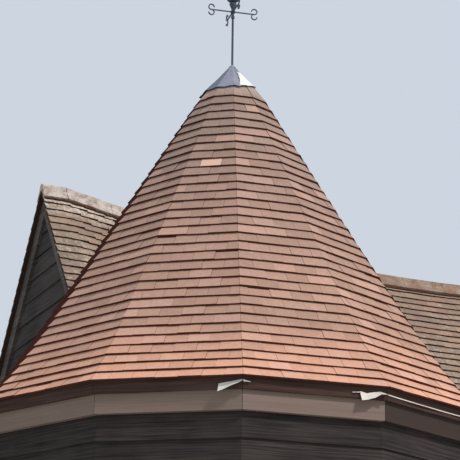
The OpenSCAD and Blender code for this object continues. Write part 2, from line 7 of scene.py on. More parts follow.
import math
import random
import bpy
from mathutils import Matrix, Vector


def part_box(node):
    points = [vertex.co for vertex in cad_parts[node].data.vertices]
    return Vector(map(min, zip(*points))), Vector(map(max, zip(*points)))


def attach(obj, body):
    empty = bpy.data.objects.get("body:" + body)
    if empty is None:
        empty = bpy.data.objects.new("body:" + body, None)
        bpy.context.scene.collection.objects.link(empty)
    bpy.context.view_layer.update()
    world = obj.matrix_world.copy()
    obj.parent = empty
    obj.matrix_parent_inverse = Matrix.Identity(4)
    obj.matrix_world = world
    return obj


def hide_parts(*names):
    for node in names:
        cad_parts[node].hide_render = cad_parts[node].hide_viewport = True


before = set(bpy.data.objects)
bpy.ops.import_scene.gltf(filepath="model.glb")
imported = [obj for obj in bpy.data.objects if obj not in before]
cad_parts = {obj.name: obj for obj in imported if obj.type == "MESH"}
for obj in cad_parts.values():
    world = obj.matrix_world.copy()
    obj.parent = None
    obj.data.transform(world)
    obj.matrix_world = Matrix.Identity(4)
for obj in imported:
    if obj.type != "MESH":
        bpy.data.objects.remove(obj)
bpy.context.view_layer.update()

from types import SimpleNamespace

import bmesh
import bpy
from bpy.props import FloatProperty, FloatVectorProperty, IntProperty, PointerProperty
from mathutils import Matrix, Vector

bl_info = {
    "name": "Oast house dressing",
    "version": (1, 0, 0),
    "blender": (4, 5, 0),
    "location": "View3D > Sidebar > Oast",
    "description": "Lays tiles, bricks, boards, joinery and leadwork on the oast house",
    "category": "Object",
}

UP, RIGHT, BACK = Vector((0.0, 0.0, 1.0)), Vector((1.0, 0.0, 0.0)), Vector((0.0, 1.0, 0.0))
ROD_LOW, ROD_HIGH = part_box("vane_rod")
AXIS = Vector(((ROD_LOW.x + ROD_HIGH.x) / 2, (ROD_LOW.y + ROD_HIGH.y) / 2, 0.0))


def span_of(node, axis):
    """Where a solid starts and ends along x, y or z, measured from the kiln's axis."""
    n = "xyz".index(axis)
    return [round(corner[n] - AXIS[n], 4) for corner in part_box(node)]


# Places read from the solids
PLINTH_H = span_of("kiln_plinth", "z")[1]
FRIEZE_LOW = span_of("kiln_frieze", "z")[0]
EAVES_Z = span_of("kiln_roof_1", "z")[0]
CAP_Z, CAP_TIP = (corner.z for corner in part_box("lead_cap"))
BARN_LEFT = span_of("left_gable", "x")[0]
BARN_RIGHT = span_of("right_gable", "x")[1]
BARN_BACK = span_of("back_wall", "y")[1]
BARN_FRONT = span_of("front_wall_right", "y")[0]
VERGE_LEFT, VERGE_RIGHT = span_of("barn_tiles_front", "x")
EAVE_FRONT, RIDGE_Y = span_of("barn_tiles_front", "y")
EAVE_BACK = span_of("barn_tiles_back", "y")[1]
HALF_SPAN = (EAVE_BACK - EAVE_FRONT) / 2
LOW_SILL = span_of("barn_window_frames", "z")[0]
LOFT_Z = span_of("loft_floor", "z")[1]

# Kiln: its corner radii, and its hips, whose pitch kicks out flatter at the eaves
SIDES = 12
HALF = math.pi / SIDES
CORNER_TURN = math.radians(8.8)
WALL_R, PLINTH_R = 1.990, 2.030
FRIEZE_R, FASCIA_R, EAVES_R = 2.045, 2.070, 2.110
HIP_PITCH, KICK_ANGLE, KICK_REACH = 58.6, 12.4, 0.42
COURSE, COURSES = 0.100, 33
DOOR_SIDE, WINDOW_SIDE = 9, 7

# Barn: its ridge, which sags in straight steps, and what lies below the tiles
RIDGE_Z, SAG, SAG_STEPS = 7.410, 0.400, 12
BARN_EAVES_Z, WALL_TOP, ROOF_DEPTH = 3.950, 4.020, 0.220
BARN_COURSES = 42

# Openings: sizes, and places shared out along the inside of the walls
WALL = 0.150
INNER_LEFT, INNER_RIGHT = BARN_LEFT + WALL, BARN_RIGHT - WALL
INNER_BACK = BARN_BACK - WALL
FRAME, REVEAL = 0.060, 0.035
WINDOW_W, WINDOW_H, HIGH_SILL = 0.760, 0.820, 2.880
DOOR_W, DOOR_H = 1.900, 2.150
KILN_DOOR_W, KILN_DOOR_H = 0.720, 1.950
KILN_WINDOW_W, KILN_SILL = 0.520, 2.900
LOADING_W, LOADING_H = 1.000, 1.700
FRONT_GAP = (INNER_RIGHT - PLINTH_R - 2 * WINDOW_W - DOOR_W - 2 * FRAME) / 4
WINDOW_A = PLINTH_R + FRONT_GAP + WINDOW_W / 2
WINDOW_B = INNER_RIGHT - FRONT_GAP - WINDOW_W / 2
DOOR_X = (WINDOW_A + WINDOW_B) / 2
SIDE_WINDOW_Y = (PLINTH_R + INNER_BACK) / 2
BACK_BAY = (INNER_RIGHT - INNER_LEFT) / 3
FIT = 0.004
CASING_W, CASING_PROUD = 0.075, 0.032
SILL_REACH, SILL_DEPTH, SILL_PROUD = 0.020, 0.045, 0.062

# Tiles and bricks: how far a course sinks under the next, and the one tile of a paler batch
LAP = 0.014
NEW_TAIL, OLD_TAIL = 0.012, 0.010
PALE_TILE, PALE_PLACE, PALE_ALONG = 1.0, (8, 24), 0.0
BUTT_SLOPE = 0.12
BRICK_COURSE, LONGEST_BOARD = 0.075, 3.6
RIDGE_REACH = 0.150

# Lead: drop below the tip and corner radius of its hollowed surface and of its core
LEAD_PROFILE = (
    (0.003, 0.0115), (0.021, 0.023), (0.071, 0.067), (0.127, 0.115), (0.197, 0.180),
    (0.234, 0.216), (0.285, 0.252), (0.345, 0.297))
CORE_PROFILE = (
    (0.003, 0.0), (0.003, 0.006), (0.021, 0.017), (0.071, 0.060), (0.127, 0.107),
    (0.185, 0.150), (0.245, 0.150), (0.245, 0.0))
TOP_TILE_END = Vector((0.160, CAP_TIP - 0.185))
LEAD_THICKNESS, LEAD_LAP, LEAD_FLARE, CORE_TONE = 0.0025, 0.0030, 0.008, 0.1
# Each sheet: first and last turn in sides, slant of the first edge, foot at both ends above
# the solid's own, head below the tip, rank in the laps, and its painted light: a high value
# paints the sheet bright as sun glare, a value near 0 paints it darker as shade
LEAD_SHEETS = (
    (5.0, 7.1, 0.0, 0.004, -0.002, 0.006, 0, 0.0),
    (7.0, 8.50, 0.0, -0.004, 0.006, 0.004, 1, 0.18),
    (8.42, 11.1, 0.56, 0.012, 0.084, 0.083, 0, 0.84),
    (8.3, 11.1, 0.0, 0.110, 0.130, 0.008, -2, 0.10),
    (11.0, 12.1, 0.0, 0.085, 0.010, 0.008, 1, 0.40),
    (0.0, 2.1, 0.0, -0.012, -0.020, 0.006, 0, 0.30),
    (2.0, 5.1, 0.0, -0.020, -0.012, 0.004, 1, 0.12))
# Each scrap of underlay: side, ends along it, drops of its upper edge below the eaves, its
# depths, and how far it leans out
FELT_SCRAPS = (
    (8, 0.365, 0.535, (0.052, 0.040, 0.026), (0.062, 0.040, 0.018), 0.030),
    (9, -0.536, -0.485, (0.026, 0.038), (0.018, 0.006), 0.012),
    (9, 0.330, 0.530, (0.040, 0.052, 0.040, 0.030, 0.044),
     (0.072, 0.050, 0.046, 0.026, 0.012), 0.034),
    (9, 0.270, 0.330, (0.050, 0.044), (0.004, 0.006), 0.006),
    (10, -0.530, 0.530, (0.046, 0.052, 0.054, 0.052), (0.007, 0.008, 0.006, 0.007), 0.004))

# Stage: the photograph's view, and the lamp's direction to the right, ahead and up from it
CAMERA_PITCH, CAMERA_ROLL = math.radians(17.62), math.radians(0.74)
CAMERA_HEADING = Vector((0.4067, 0.9135, 0.0))
CAMERA_PLACE = Vector((-6.256, -14.050, 1.623))
SENSOR, FAR = 36.0, 500.0
LAMP_TOWARD, LAMP_SPREAD = (0.72, -0.52, 0.95), math.radians(7.0)
LAMP_COLOUR, SKY_LIGHT = (1.0, 0.965, 0.92), (0.86, 0.93, 1.0, 1.0)
FLOOR_R, FLOOR_DROP = 60.0, 0.001


def course_pitch(k):
    """Pitch of the hip beside course k; the lowest courses kick out flatter."""
    return math.radians(HIP_PITCH - KICK_ANGLE * math.exp(-(k + 0.5) * COURSE / KICK_REACH))


def hip_points():
    """Radius and height of the hip at the lower edge of each course."""
    points = [Vector((EAVES_R, EAVES_Z))]
    for k in range(COURSES):
        step = Vector((-math.cos(course_pitch(k)), math.sin(course_pitch(k))))
        points.append(points[-1] + COURSE * step)
    return points


HIP = hip_points()


def kiln_radius(z):
    """Corner radius of the kiln's outside at a height."""
    if z < PLINTH_H:
        return PLINTH_R
    if z < FRIEZE_LOW:
        return WALL_R
    if z < EAVES_Z:
        return FASCIA_R
    for low, high in zip(HIP, HIP[1:]):
        if z < high.y:
            return low.x + (high.x - low.x) * (z - low.y) / (high.y - low.y)
    return 0.0


def kiln_lean(z):
    """How fast the kiln's sides draw in with height."""
    if z < EAVES_Z:
        return 0.0
    return (kiln_radius(z) - kiln_radius(z + COURSE)) * math.cos(HALF) / COURSE


def side_axes(i):
    """Outward direction of side i of the kiln, and the level direction along it."""
    turn = CORNER_TURN + (2 * i - 1) * HALF
    out = Vector((math.cos(turn), math.sin(turn), 0.0))
    return out, UP.cross(out)


def inside_barn(i):
    """Whether side i of the kiln stands inside the barn."""
    middle = side_axes(i)[0] * WALL_R * math.cos(HALF)
    return middle.x > BARN_LEFT + 0.35 and middle.y > BARN_FRONT + 0.35


FREE_SIDES = [i for i in range(1, SIDES + 1) if not inside_barn(i)]


def kiln_gap(point, radius):
    """Distance of a point outside a ring of sides, and the side that it faces."""
    return max(
        (point.dot(side_axes(i)[0]) - radius * math.cos(HALF), i) for i in range(1, SIDES + 1))


def leave_kiln(start, way, radius):
    """How far from start, inside the kiln, a level line leaves a ring of sides."""
    ways = []
    for i in range(1, SIDES + 1):
        out = side_axes(i)[0]
        if out.dot(way) > 1e-6:
            ways.append((radius * math.cos(HALF) - start.dot(out)) / out.dot(way))
    return min(ways)


def ridge_z(x):
    """Height of the sagging ridge, straight between the solid's own sections."""
    share = min(max((x - INNER_LEFT) / (INNER_RIGHT - INNER_LEFT), 0.0), 1.0) * SAG_STEPS
    low = min(int(share), SAG_STEPS - 1)
    heights = [
        RIDGE_Z - 4 * SAG * (s / SAG_STEPS) * (1 - s / SAG_STEPS) for s in (low, low + 1)]
    return heights[0] + (heights[1] - heights[0]) * (share - low)


def roof_slope(x):
    return (ridge_z(x) - BARN_EAVES_Z) / HALF_SPAN


def barn_point(x, up, back=False):
    """A point on the barn's roof, a level distance up from the eaves."""
    y = EAVE_BACK - up if back else EAVE_FRONT + up
    return Vector((x, y, BARN_EAVES_Z + up * roof_slope(x)))


def under_barn(point):
    """How far a point lies below the barn's tiles, or None beside the barn."""
    if not (BARN_LEFT < point.x < BARN_RIGHT and BARN_FRONT < point.y < BARN_BACK):
        return None
    up = min(point.y - EAVE_FRONT, EAVE_BACK - point.y)
    return BARN_EAVES_Z + up * roof_slope(point.x) - point.z


def lead_radius(z):
    """Corner radius of the lead's surface at a height."""
    drop = CAP_TIP - z
    for (a, r_a), (b, r_b) in zip(LEAD_PROFILE, LEAD_PROFILE[1:]):
        if drop < b:
            break
    return r_a + (r_b - r_a) * (max(drop, LEAD_PROFILE[0][0]) - a) / (b - a)


# Sizes and colours
def length(label, text, value, low, high):
    return FloatProperty(
        name=label, description=text, default=value, min=low, max=high, unit="LENGTH")


def paint(red, green, blue):
    """A colour as it is seen on a screen, in the linear values that shaders take."""
    return tuple(
        c / 12.92 if c <= 0.04045 else ((c + 0.055) / 1.055) ** 2.4
        for c in (red / 255, green / 255, blue / 255))


def colour(label, text, *seen):
    return FloatVectorProperty(
        name=label, description=text, default=paint(*seen), size=3, subtype="COLOR",
        min=0.0, max=1.0)


class OastTileSizes(bpy.types.PropertyGroup):
    """Sizes of the clay tiles"""

    width: length("Tile width", "Width of a plain tile", 0.165, 0.1, 0.3)
    gap: length("Joint", "Open joint between two tiles", 0.0014, 0.0, 0.01)
    thickness: length("Thickness", "Thickness of a plain tile", 0.012, 0.008, 0.02)
    lift: length("Lift", "How far new tiles stand off the solid roof", 0.003, 0.001, 0.01)
    seed: IntProperty(
        name="Seed", description="Start of the uneven laying", default=7, min=0)


class OastBoardSizes(bpy.types.PropertyGroup):
    """Sizes of the boards, planks and bricks"""

    cover: length("Cover", "Height of wall that one weatherboard covers", 0.190, 0.1, 0.3)
    foot: length("Foot", "Thickness of a weatherboard at its lower edge", 0.022, 0.01, 0.04)
    head: length("Head", "Thickness of a weatherboard at its upper edge", 0.008, 0.004, 0.02)
    plank: length("Plank", "Width of a door plank", 0.140, 0.08, 0.25)
    brick: length("Brick", "Length of a brick with its joint", 0.225, 0.2, 0.3)
    joint: length("Mortar joint", "Width of a mortar joint", 0.010, 0.004, 0.02)


class OastColours(bpy.types.PropertyGroup):
    """Main colours of the finishes"""

    tile_low: colour("Low tiles", "New clay tiles near the eaves", 226, 167, 139)
    tile_mid: colour("Middle tiles", "New clay tiles half way up", 176, 139, 122)
    tile_high: colour("High tiles", "New clay tiles near the cap", 150, 128, 117)
    tile_butt: colour("Tile edge", "Shaded lower edge of a tile", 82, 45, 37)
    old_tile: colour("Old tiles", "Weathered tiles of the barn", 150, 126, 111)
    old_butt: colour("Old edge", "Shaded lower edge of an old tile", 60, 46, 40)
    ridge: colour("Ridge", "Ridge tiles under lichen", 154, 136, 122)
    # Painted shade: the mortar under the ridge is coloured as the dark shadow line under the
    # tiles
    ridge_mortar: colour("Ridge mortar", "Mortar under the ridge tiles, painted dark as shade", 80, 58, 48)
    board: colour("Weatherboard", "Dark stained boards", 27, 22, 23)
    brick: colour("Brick", "Brick of the plinth", 134, 86, 70)
    mortar: colour("Mortar", "Lime mortar", 176, 164, 148)
    lead: colour("Lead", "Dull sheet lead", 120, 125, 142)
    # Painted highlight: lead painted bright as if it caught the sun's glare
    sunlit_lead: colour("Bright lead", "Lead under white bloom", 226, 225, 222)
    iron: colour("Iron", "Painted iron of the vane", 70, 78, 92)
    door: colour("Door planks", "Stained door planks", 78, 62, 50)
    joinery: colour("Joinery", "Painted window joinery", 222, 218, 206)
    timber: colour("Timber", "Sawn timber inside", 138, 116, 90)
    # Partly painted shade: weathered grey timber, given a darker colour than it has as the barge
    # boards' shade
    barge: colour("Barge board", "Weathered barge boards", 58, 50, 48)
    frieze: colour("Frieze", "Lower eaves boards", 124, 104, 95)
    eaves: colour("Eaves board", "Upper eaves boards", 56, 32, 25)
    felt: colour("Underlay", "Edges of underlay below the tiles", 220, 213, 205)


class OastStage(bpy.types.PropertyGroup):
    """Camera, light and floor"""

    lens: FloatProperty(
        name="Lens", description="Focal length for a 36 mm sensor", default=154.9,
        min=20.0, max=400.0)
    key: FloatProperty(
        name="Key light", description="Strength of the high lamp", default=2.5, min=0.0)
    fill: FloatProperty(
        name="Fill light", description="Strength of the light all round", default=0.64,
        min=0.0)
    sky: colour("Surroundings", "Colour seen behind the building", 205, 213, 224)
    floor: colour("Floor", "Colour of the floor", 206, 206, 202)


# Mesh helpers
def place_of(along, up, origin):
    """Axes of a piece at its origin: X along it, Y up it and Z out of it."""
    place = Matrix((along, up, along.cross(up))).transposed().to_4x4()
    place.translation = origin
    return place


def wall_place(origin, out):
    """Axes on the face of an upright wall, from an origin beside the kiln's axis."""
    return place_of(UP.cross(out), UP, AXIS + origin)


def kiln_place(i, radius=WALL_R):
    """Axes on side i of a ring of sides, from the middle of that side."""
    out = side_axes(i)[0]
    return wall_place(out * radius * math.cos(HALF), out)


def slope_place(along, rise, origin, back):
    """Axes on the barn's roof: X along its courses and square to the rise."""
    along = (along - rise * along.dot(rise)).normalized() * (-1.0 if back else 1.0)
    return place_of(along, rise, AXIS + origin)


def loosened(place, rng, turn, tilt):
    """A tile's place, turned a little in its slope and tilted a little off it."""
    place = place @ Matrix.Rotation(rng.uniform(-turn, turn), 4, "Z")
    return place @ Matrix.Rotation(-rng.uniform(0.0, tilt), 4, "X")


# A dict keeps its order, which a set doesn't, so cuts and bevels come out alike in each run
def edges_of(verts):
    return list(dict.fromkeys(e for v in verts for e in v.link_edges))


def faces_of(verts):
    return list(dict.fromkeys(f for v in verts for f in v.link_faces))


class Workpiece:
    """A mesh in the making. With rng, its work is uneven and each block gets a tone."""

    def __init__(self, rng=None):
        self.bm = bmesh.new()
        self.rng = rng
        self.tone = None if rng is None else self.bm.faces.layers.float.new("tone")

    def give_tone(self, faces, tone):
        for face in faces:
            face[self.tone] = tone

    def block(self, place, along, up, out, taper=0.0, tone=None):
        """A box between two distances each way; taper thins its upper edge."""
        ranges = (along, up, out)
        middle = Vector([(a + b) / 2 for a, b in ranges])
        size = [b - a for a, b in ranges] + [1.0]
        verts = bmesh.ops.create_cube(
            self.bm, size=1.0,
            matrix=place @ Matrix.Translation(middle) @ Matrix.Diagonal(size))["verts"]
        if taper:
            axes = place.to_3x3()
            centre = place @ middle
            high = [
                v for v in verts
                if (v.co - centre).dot(axes.col[1]) > 0 and (v.co - centre).dot(axes.col[2]) > 0]
            bmesh.ops.translate(self.bm, verts=high, vec=axes.col[2] * -taper)
        if self.rng is not None:
            self.give_tone(faces_of(verts), self.rng.random() if tone is None else tone)
        return verts

    def round_bar(self, place, radius, low, high, segments=12):
        """A round bar along Z of a place."""
        bmesh.ops.create_cone(
            self.bm, cap_ends=True, segments=segments, radius1=radius, radius2=radius,
            depth=high - low, matrix=place @ Matrix.Translation((0, 0, (low + high) / 2)))

    def soften(self, verts, offset):
        """Takes the sharpness off every edge of a block."""
        bmesh.ops.bevel(
            self.bm, geom=edges_of(verts), offset=offset, affect="EDGES", segments=1,
            profile=0.5, material=-1)

    def sheet(self, columns, rows, shape, thickness):
        """A closed sheet; shape gives the place of each share across it and up it."""
        grid = bmesh.ops.create_grid(
            self.bm, x_segments=columns, y_segments=rows, size=0.5)["verts"]
        for v in grid:
            v.co = shape(v.co.x + 0.5, v.co.y + 0.5)
        faces = faces_of(grid)
        bmesh.ops.recalc_face_normals(self.bm, faces=faces)
        made = bmesh.ops.solidify(self.bm, geom=faces, thickness=thickness)["geom"]
        return faces + [g for g in made if isinstance(g, bmesh.types.BMFace)]

    def cut_off(self, verts, point, normal):
        """Cuts closed pieces with a plane, drops what lies beyond it and closes the cut."""
        verts = list(dict.fromkeys(v for v in verts if v.is_valid))
        cut = bmesh.ops.bisect_plane(
            self.bm, geom=verts + edges_of(verts) + faces_of(verts), dist=1e-6,
            plane_co=point, plane_no=normal, clear_outer=True)["geom_cut"]
        edges = [g for g in cut if isinstance(g, bmesh.types.BMEdge)]
        if edges:
            bmesh.ops.holes_fill(self.bm, edges=edges, sides=0)
        return [v for v in verts if v.is_valid] + [
            g for g in cut if isinstance(g, bmesh.types.BMVert)]

    def mitre(self, verts, i, gap=0.0):
        """Cuts pieces on side i of the kiln along the hips at both of its ends."""
        for turn in (1, -1):
            hip = Matrix.Rotation(turn * HALF, 3, "Z") @ side_axes(i)[0]
            across = UP.cross(hip) * turn
            verts = self.cut_off(verts, AXIS - across * gap, across)

    def scribe(self, verts, facing, z):
        """Cuts pieces to the slope of one side of the kiln at a height."""
        out = side_axes(facing)[0]
        touch = out * (kiln_radius(z) * math.cos(HALF) + FIT) + UP * z
        self.cut_off(verts, AXIS + touch, -(out + UP * kiln_lean(z)).normalized())

    def done(self, name, finish, slot=None):
        """Makes the mesh a piece of the building, with a finish; the slot is not used."""
        mesh = bpy.data.meshes.new(name)
        self.bm.to_mesh(mesh)
        self.bm.free()
        mesh.materials.append(make_finishes()[finish])
        piece = bpy.data.objects.new(name, mesh)
        bpy.context.scene.collection.objects.link(piece)
        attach(piece, "building")
        return piece


# Finishes
class Wire:
    """A socket that can be added, subtracted and multiplied; each sum makes its node."""

    def __init__(self, book, socket):
        self.book, self.socket = book, socket

    def __add__(self, other):
        return self.book.sum("ADD", self, other)

    def __radd__(self, other):
        return self.book.sum("ADD", other, self)

    def __sub__(self, other):
        return self.book.sum("SUBTRACT", self, other)

    def __rsub__(self, other):
        return self.book.sum("SUBTRACT", other, self)

    def __mul__(self, other):
        return self.book.sum("MULTIPLY", self, other)

    def __rmul__(self, other):
        return self.book.sum("MULTIPLY", other, self)


class Finish:
    """A material and the nodes that make it up."""

    def __init__(self, name, **sockets):
        self.material = bpy.data.materials.new(name)
        self.material.use_nodes = True
        self.nodes = self.material.node_tree.nodes
        self.links = self.material.node_tree.links
        self.shader = next(n for n in self.nodes if n.type == "BSDF_PRINCIPLED")
        for socket, value in sockets.items():
            self.shader.inputs[socket.replace("_", " ")].default_value = value
        self.place = self.node("ShaderNodeTexCoord", output="Object")

    def feed(self, socket, value):
        if isinstance(value, Wire):
            self.links.new(value.socket, socket)
        elif isinstance(value, tuple) and socket.type == "RGBA":
            socket.default_value = (*value, 1.0)
        else:
            socket.default_value = value

    def node(self, kind, settings=None, inputs=None, output=0):
        made = self.nodes.new(kind)
        for key, value in (settings or {}).items():
            setattr(made, key, value)
        for key, value in (inputs or {}).items():
            self.feed(made.inputs[key], value)
        return Wire(self, made.outputs[output])

    def sum(self, operation, a, b):
        return self.node("ShaderNodeMath", {"operation": operation}, {0: a, 1: b})

    def spread(self, value, low, high):
        """A value stretched so that low becomes 0 and high becomes 1, and clamped."""
        return self.node("ShaderNodeMapRange", {"clamp": True}, {
            "Value": value, "From Min": low, "From Max": high})

    def blend(self, share, a, b):
        return self.node(
            "ShaderNodeMix", {"data_type": "RGBA", "blend_type": "MIX"},
            {0: share, 6: a, 7: b}, output=2)

    def shade(self, base, factor):
        """A colour made lighter or darker by a factor that varies."""
        return self.node(
            "ShaderNodeVectorMath", {"operation": "SCALE"}, {0: base, 3: factor})

    def stretched(self, *scale):
        return self.node("ShaderNodeMapping", {}, {"Vector": self.place, "Scale": scale})

    def cloud(self, scale, detail=3.0, rough=0.55, where=None):
        return self.node(
            "ShaderNodeTexNoise", {}, {
                "Vector": where or self.place, "Scale": scale, "Detail": detail,
                "Roughness": rough})

    def piece_tone(self):
        """The tone that each block was given when it was laid."""
        return self.node("ShaderNodeAttribute", {"attribute_name": "tone"}, output="Fac")

    def piece_hue(self, mixing):
        """A second number for each block, scattered from its tone."""
        return self.node("ShaderNodeTexWhiteNoise", {"noise_dimensions": "1D"}, {
            "W": self.piece_tone() * mixing})

    def level(self, axis):
        return self.node("ShaderNodeSeparateXYZ", {}, {0: self.place}, output=axis)

    def left_end(self):
        """1 at the left end of the barn's roof, falling to 0 a little way along it."""
        return self.spread(self.level("X"), AXIS.x + 2.2, AXIS.x + 0.6)

    def done(self, base, rough, bump=None, strength=0.3, depth=0.002, metal=None):
        self.feed(self.shader.inputs["Base Color"], base)
        self.feed(self.shader.inputs["Roughness"], rough)
        if metal is not None:
            self.feed(self.shader.inputs["Metallic"], metal)
        if bump is not None:
            raised = self.node(
                "ShaderNodeBump", {}, {"Height": bump, "Strength": strength, "Distance": depth})
            self.feed(self.shader.inputs["Normal"], raised)
        return self.material


def tint(value, factor):
    return tuple(min(1.0, c * factor) for c in value)


def new_tile_finish(c):
    """Machine-made clay tiles, sandier and brighter towards the eaves."""
    f = Finish("new_clay_tile", Specular_IOR_Level=0.25)
    height = f.level("Z")
    drift = f.cloud(0.9, 2.0)
    base = f.blend(
        f.spread(height + drift * 0.7, EAVES_Z + 0.16, EAVES_Z + 0.95), c.tile_low, c.tile_mid)
    base = f.blend(f.spread(height + drift * 0.7, EAVES_Z + 1.2, CAP_Z), base, c.tile_high)
    hue = f.piece_hue(97.0)
    base = f.blend(f.spread(hue, 0.70, 0.98) * 0.34, base, paint(216, 172, 156))
    base = f.blend(f.spread(hue, 0.30, 0.02) * 0.30, base, paint(150, 118, 104))
    grain = f.spread(f.cloud(80.0, 4.0, 0.75), 0.30, 0.70)
    sand = f.spread(f.cloud(24.0, 5.0, 0.75, f.stretched(1.0, 1.0, 2.6)), 0.34, 0.66)
    stain_and_shade = f.cloud(2.3, 3.0)
    base = f.blend(f.spread(sand, 0.75, 1.0) * 0.22, base, paint(206, 178, 164))
    base = f.shade(
        base, 0.68 + f.piece_tone() * 0.13 + grain * 0.15 + sand * 0.17 + stain_and_shade * 0.12)
    base = f.blend(f.spread(f.piece_tone(), 0.993, 0.998) * 0.8, base, paint(226, 186, 168))
    wash = f.spread(height + sand * 0.05, CAP_Z - 0.08, CAP_Z + 0.04)
    base = f.blend(wash * 0.45, base, paint(186, 168, 164))
    return f.done(base, 0.78 + grain * 0.14, grain * 0.5 + sand, 0.35, 0.0018)


def butt_finish(name, edge):
    """Lower edges and joints of the tiles, dark with soot and shade."""
    f = Finish(name, Specular_IOR_Level=0.1)
    grime = f.cloud(30.0, 3.0)
    base = f.shade(edge, 0.7 + grime * 0.6)
    return f.done(base, 0.9 + grime * 0.08, grime, 0.2, 0.001)


def old_tile_finish(c):
    """Hand-made tiles gone brown and grey, with lichen and a little moss."""
    f = Finish("old_clay_tile", Specular_IOR_Level=0.2)
    hue = f.piece_hue(83.0)
    base = f.blend(f.spread(hue, 0.62, 0.98) * 0.36, c.old_tile, paint(168, 124, 98))
    base = f.blend(f.spread(hue, 0.32, 0.02) * 0.36, base, paint(122, 104, 96))
    patch = f.cloud(1.6, 4.0, 0.65)
    base = f.blend(f.spread(patch, 0.46, 0.70) * 0.5, base, paint(172, 160, 146))
    lichen = f.cloud(24.0, 5.0, 0.72)
    where = f.spread(patch + f.cloud(5.0, 3.0) * 0.5, 0.62, 0.92)
    base = f.blend(f.spread(lichen, 0.53, 0.62) * where * 0.8, base, paint(206, 200, 182))
    off = f.level("Y") - (AXIS.y + RIDGE_Y)
    crust = f.spread(off * off, 0.06, 0.01) * f.left_end() * f.spread(lichen, 0.40, 0.56)
    base = f.blend(crust * 0.75, base, paint(222, 212, 198))
    soot = f.cloud(17.0, 4.0, 0.7)
    base = f.blend(f.spread(soot, 0.56, 0.70) * 0.5, base, paint(84, 72, 64))
    moss = f.cloud(9.0, 4.0, 0.7)
    base = f.blend(f.spread(moss, 0.62, 0.76) * 0.35, base, paint(98, 92, 62))
    grain = f.cloud(110.0, 4.0, 0.7)
    base = f.shade(base, 0.70 + f.piece_tone() * 0.22 + grain * 0.26)
    return f.done(base, 0.82 + grain * 0.14, grain + lichen * 0.6, 0.5, 0.003)


def ridge_finish(c):
    """Ridge tiles, with a pale crust of lichen at their left end."""
    f = Finish("ridge_clay", Specular_IOR_Level=0.2)
    patch = f.cloud(7.0, 4.0, 0.65)
    base = f.blend(f.spread(patch, 0.40, 0.62), paint(132, 102, 86), c.ridge)
    lichen = f.cloud(38.0, 4.0, 0.7)
    base = f.blend(f.spread(lichen, 0.57, 0.68) * 0.45, base, paint(204, 196, 176))
    crust = f.spread(f.cloud(13.0, 5.0, 0.7), 0.34, 0.58)
    base = f.blend(f.left_end() * crust * 0.62, base, paint(222, 214, 206))
    grain = f.cloud(120.0, 3.0, 0.7)
    base = f.shade(base, 0.84 + grain * 0.28)
    return f.done(base, 0.84 + grain * 0.12, grain + lichen, 0.5, 0.004)


def board_finish(
        name, base_colour, way, wear, pale=(122, 112, 104), toned=False, rough=0.72,
        stain_and_shade=None):
    """Boards with their grain along one direction and worn, paler edges of growth rings."""
    f = Finish(name, Specular_IOR_Level=0.2)
    scale = {"level": (2.2, 2.2, 90.0), "upright": (70.0, 70.0, 1.6)}[way]
    grain = f.cloud(1.0, 5.0, 0.62, f.stretched(*scale))
    fine = f.cloud(1.0, 3.0, 0.6, f.stretched(*(s * 3.2 for s in scale)))
    patch = f.cloud(1.3, 3.0)
    base = f.blend(
        f.spread(grain + patch * 0.6, 0.62, 1.05) * wear, base_colour, paint(*pale))
    # Painted shade: past the far corner of the door side, the frieze is painted in the darker
    # colour passed in
    if stain_and_shade is not None:
        start = FRIEZE_R * math.cos(CORNER_TURN + DOOR_SIDE * 2 * HALF) + AXIS.x
        past = f.spread(f.level("X"), start - 0.002, start + 0.002)
        base = f.blend(past * 0.9, base, stain_and_shade)
    level = 0.74 + grain * 0.26 + fine * 0.26
    if toned:
        level = level + f.piece_tone() * 0.24
    return f.done(f.shade(base, level), rough + fine * 0.2, grain + fine * 0.5, 0.45, 0.002)


def brick_finish(c):
    """Rough bricks in uneven reds, damp near the ground."""
    f = Finish("plinth_brick", Specular_IOR_Level=0.2)
    hue = f.piece_hue(71.0)
    base = f.blend(f.spread(hue, 0.5, 1.0) * 0.6, c.brick, paint(168, 112, 82))
    base = f.blend(f.spread(hue, 0.3, 0.0) * 0.6, base, paint(104, 66, 58))
    pit = f.cloud(60.0, 5.0, 0.75)
    damp = f.spread(f.level("Z") + f.cloud(2.0, 3.0) * 0.25, 0.42, 0.08)
    base = f.blend(damp * 0.45, base, paint(84, 78, 60))
    base = f.shade(base, 0.74 + f.piece_tone() * 0.2 + pit * 0.3)
    return f.done(base, 0.8 + pit * 0.15, pit, 0.6, 0.003)


def mortar_finish(name, base_colour):
    f = Finish(name, Specular_IOR_Level=0.15)
    grit = f.cloud(140.0, 4.0, 0.75)
    stain_and_shade = f.cloud(3.0, 3.0)
    base = f.shade(base_colour, 0.62 + grit * 0.36 + stain_and_shade * 0.34)
    return f.done(base, 0.88 + grit * 0.1, grit, 0.5, 0.002)


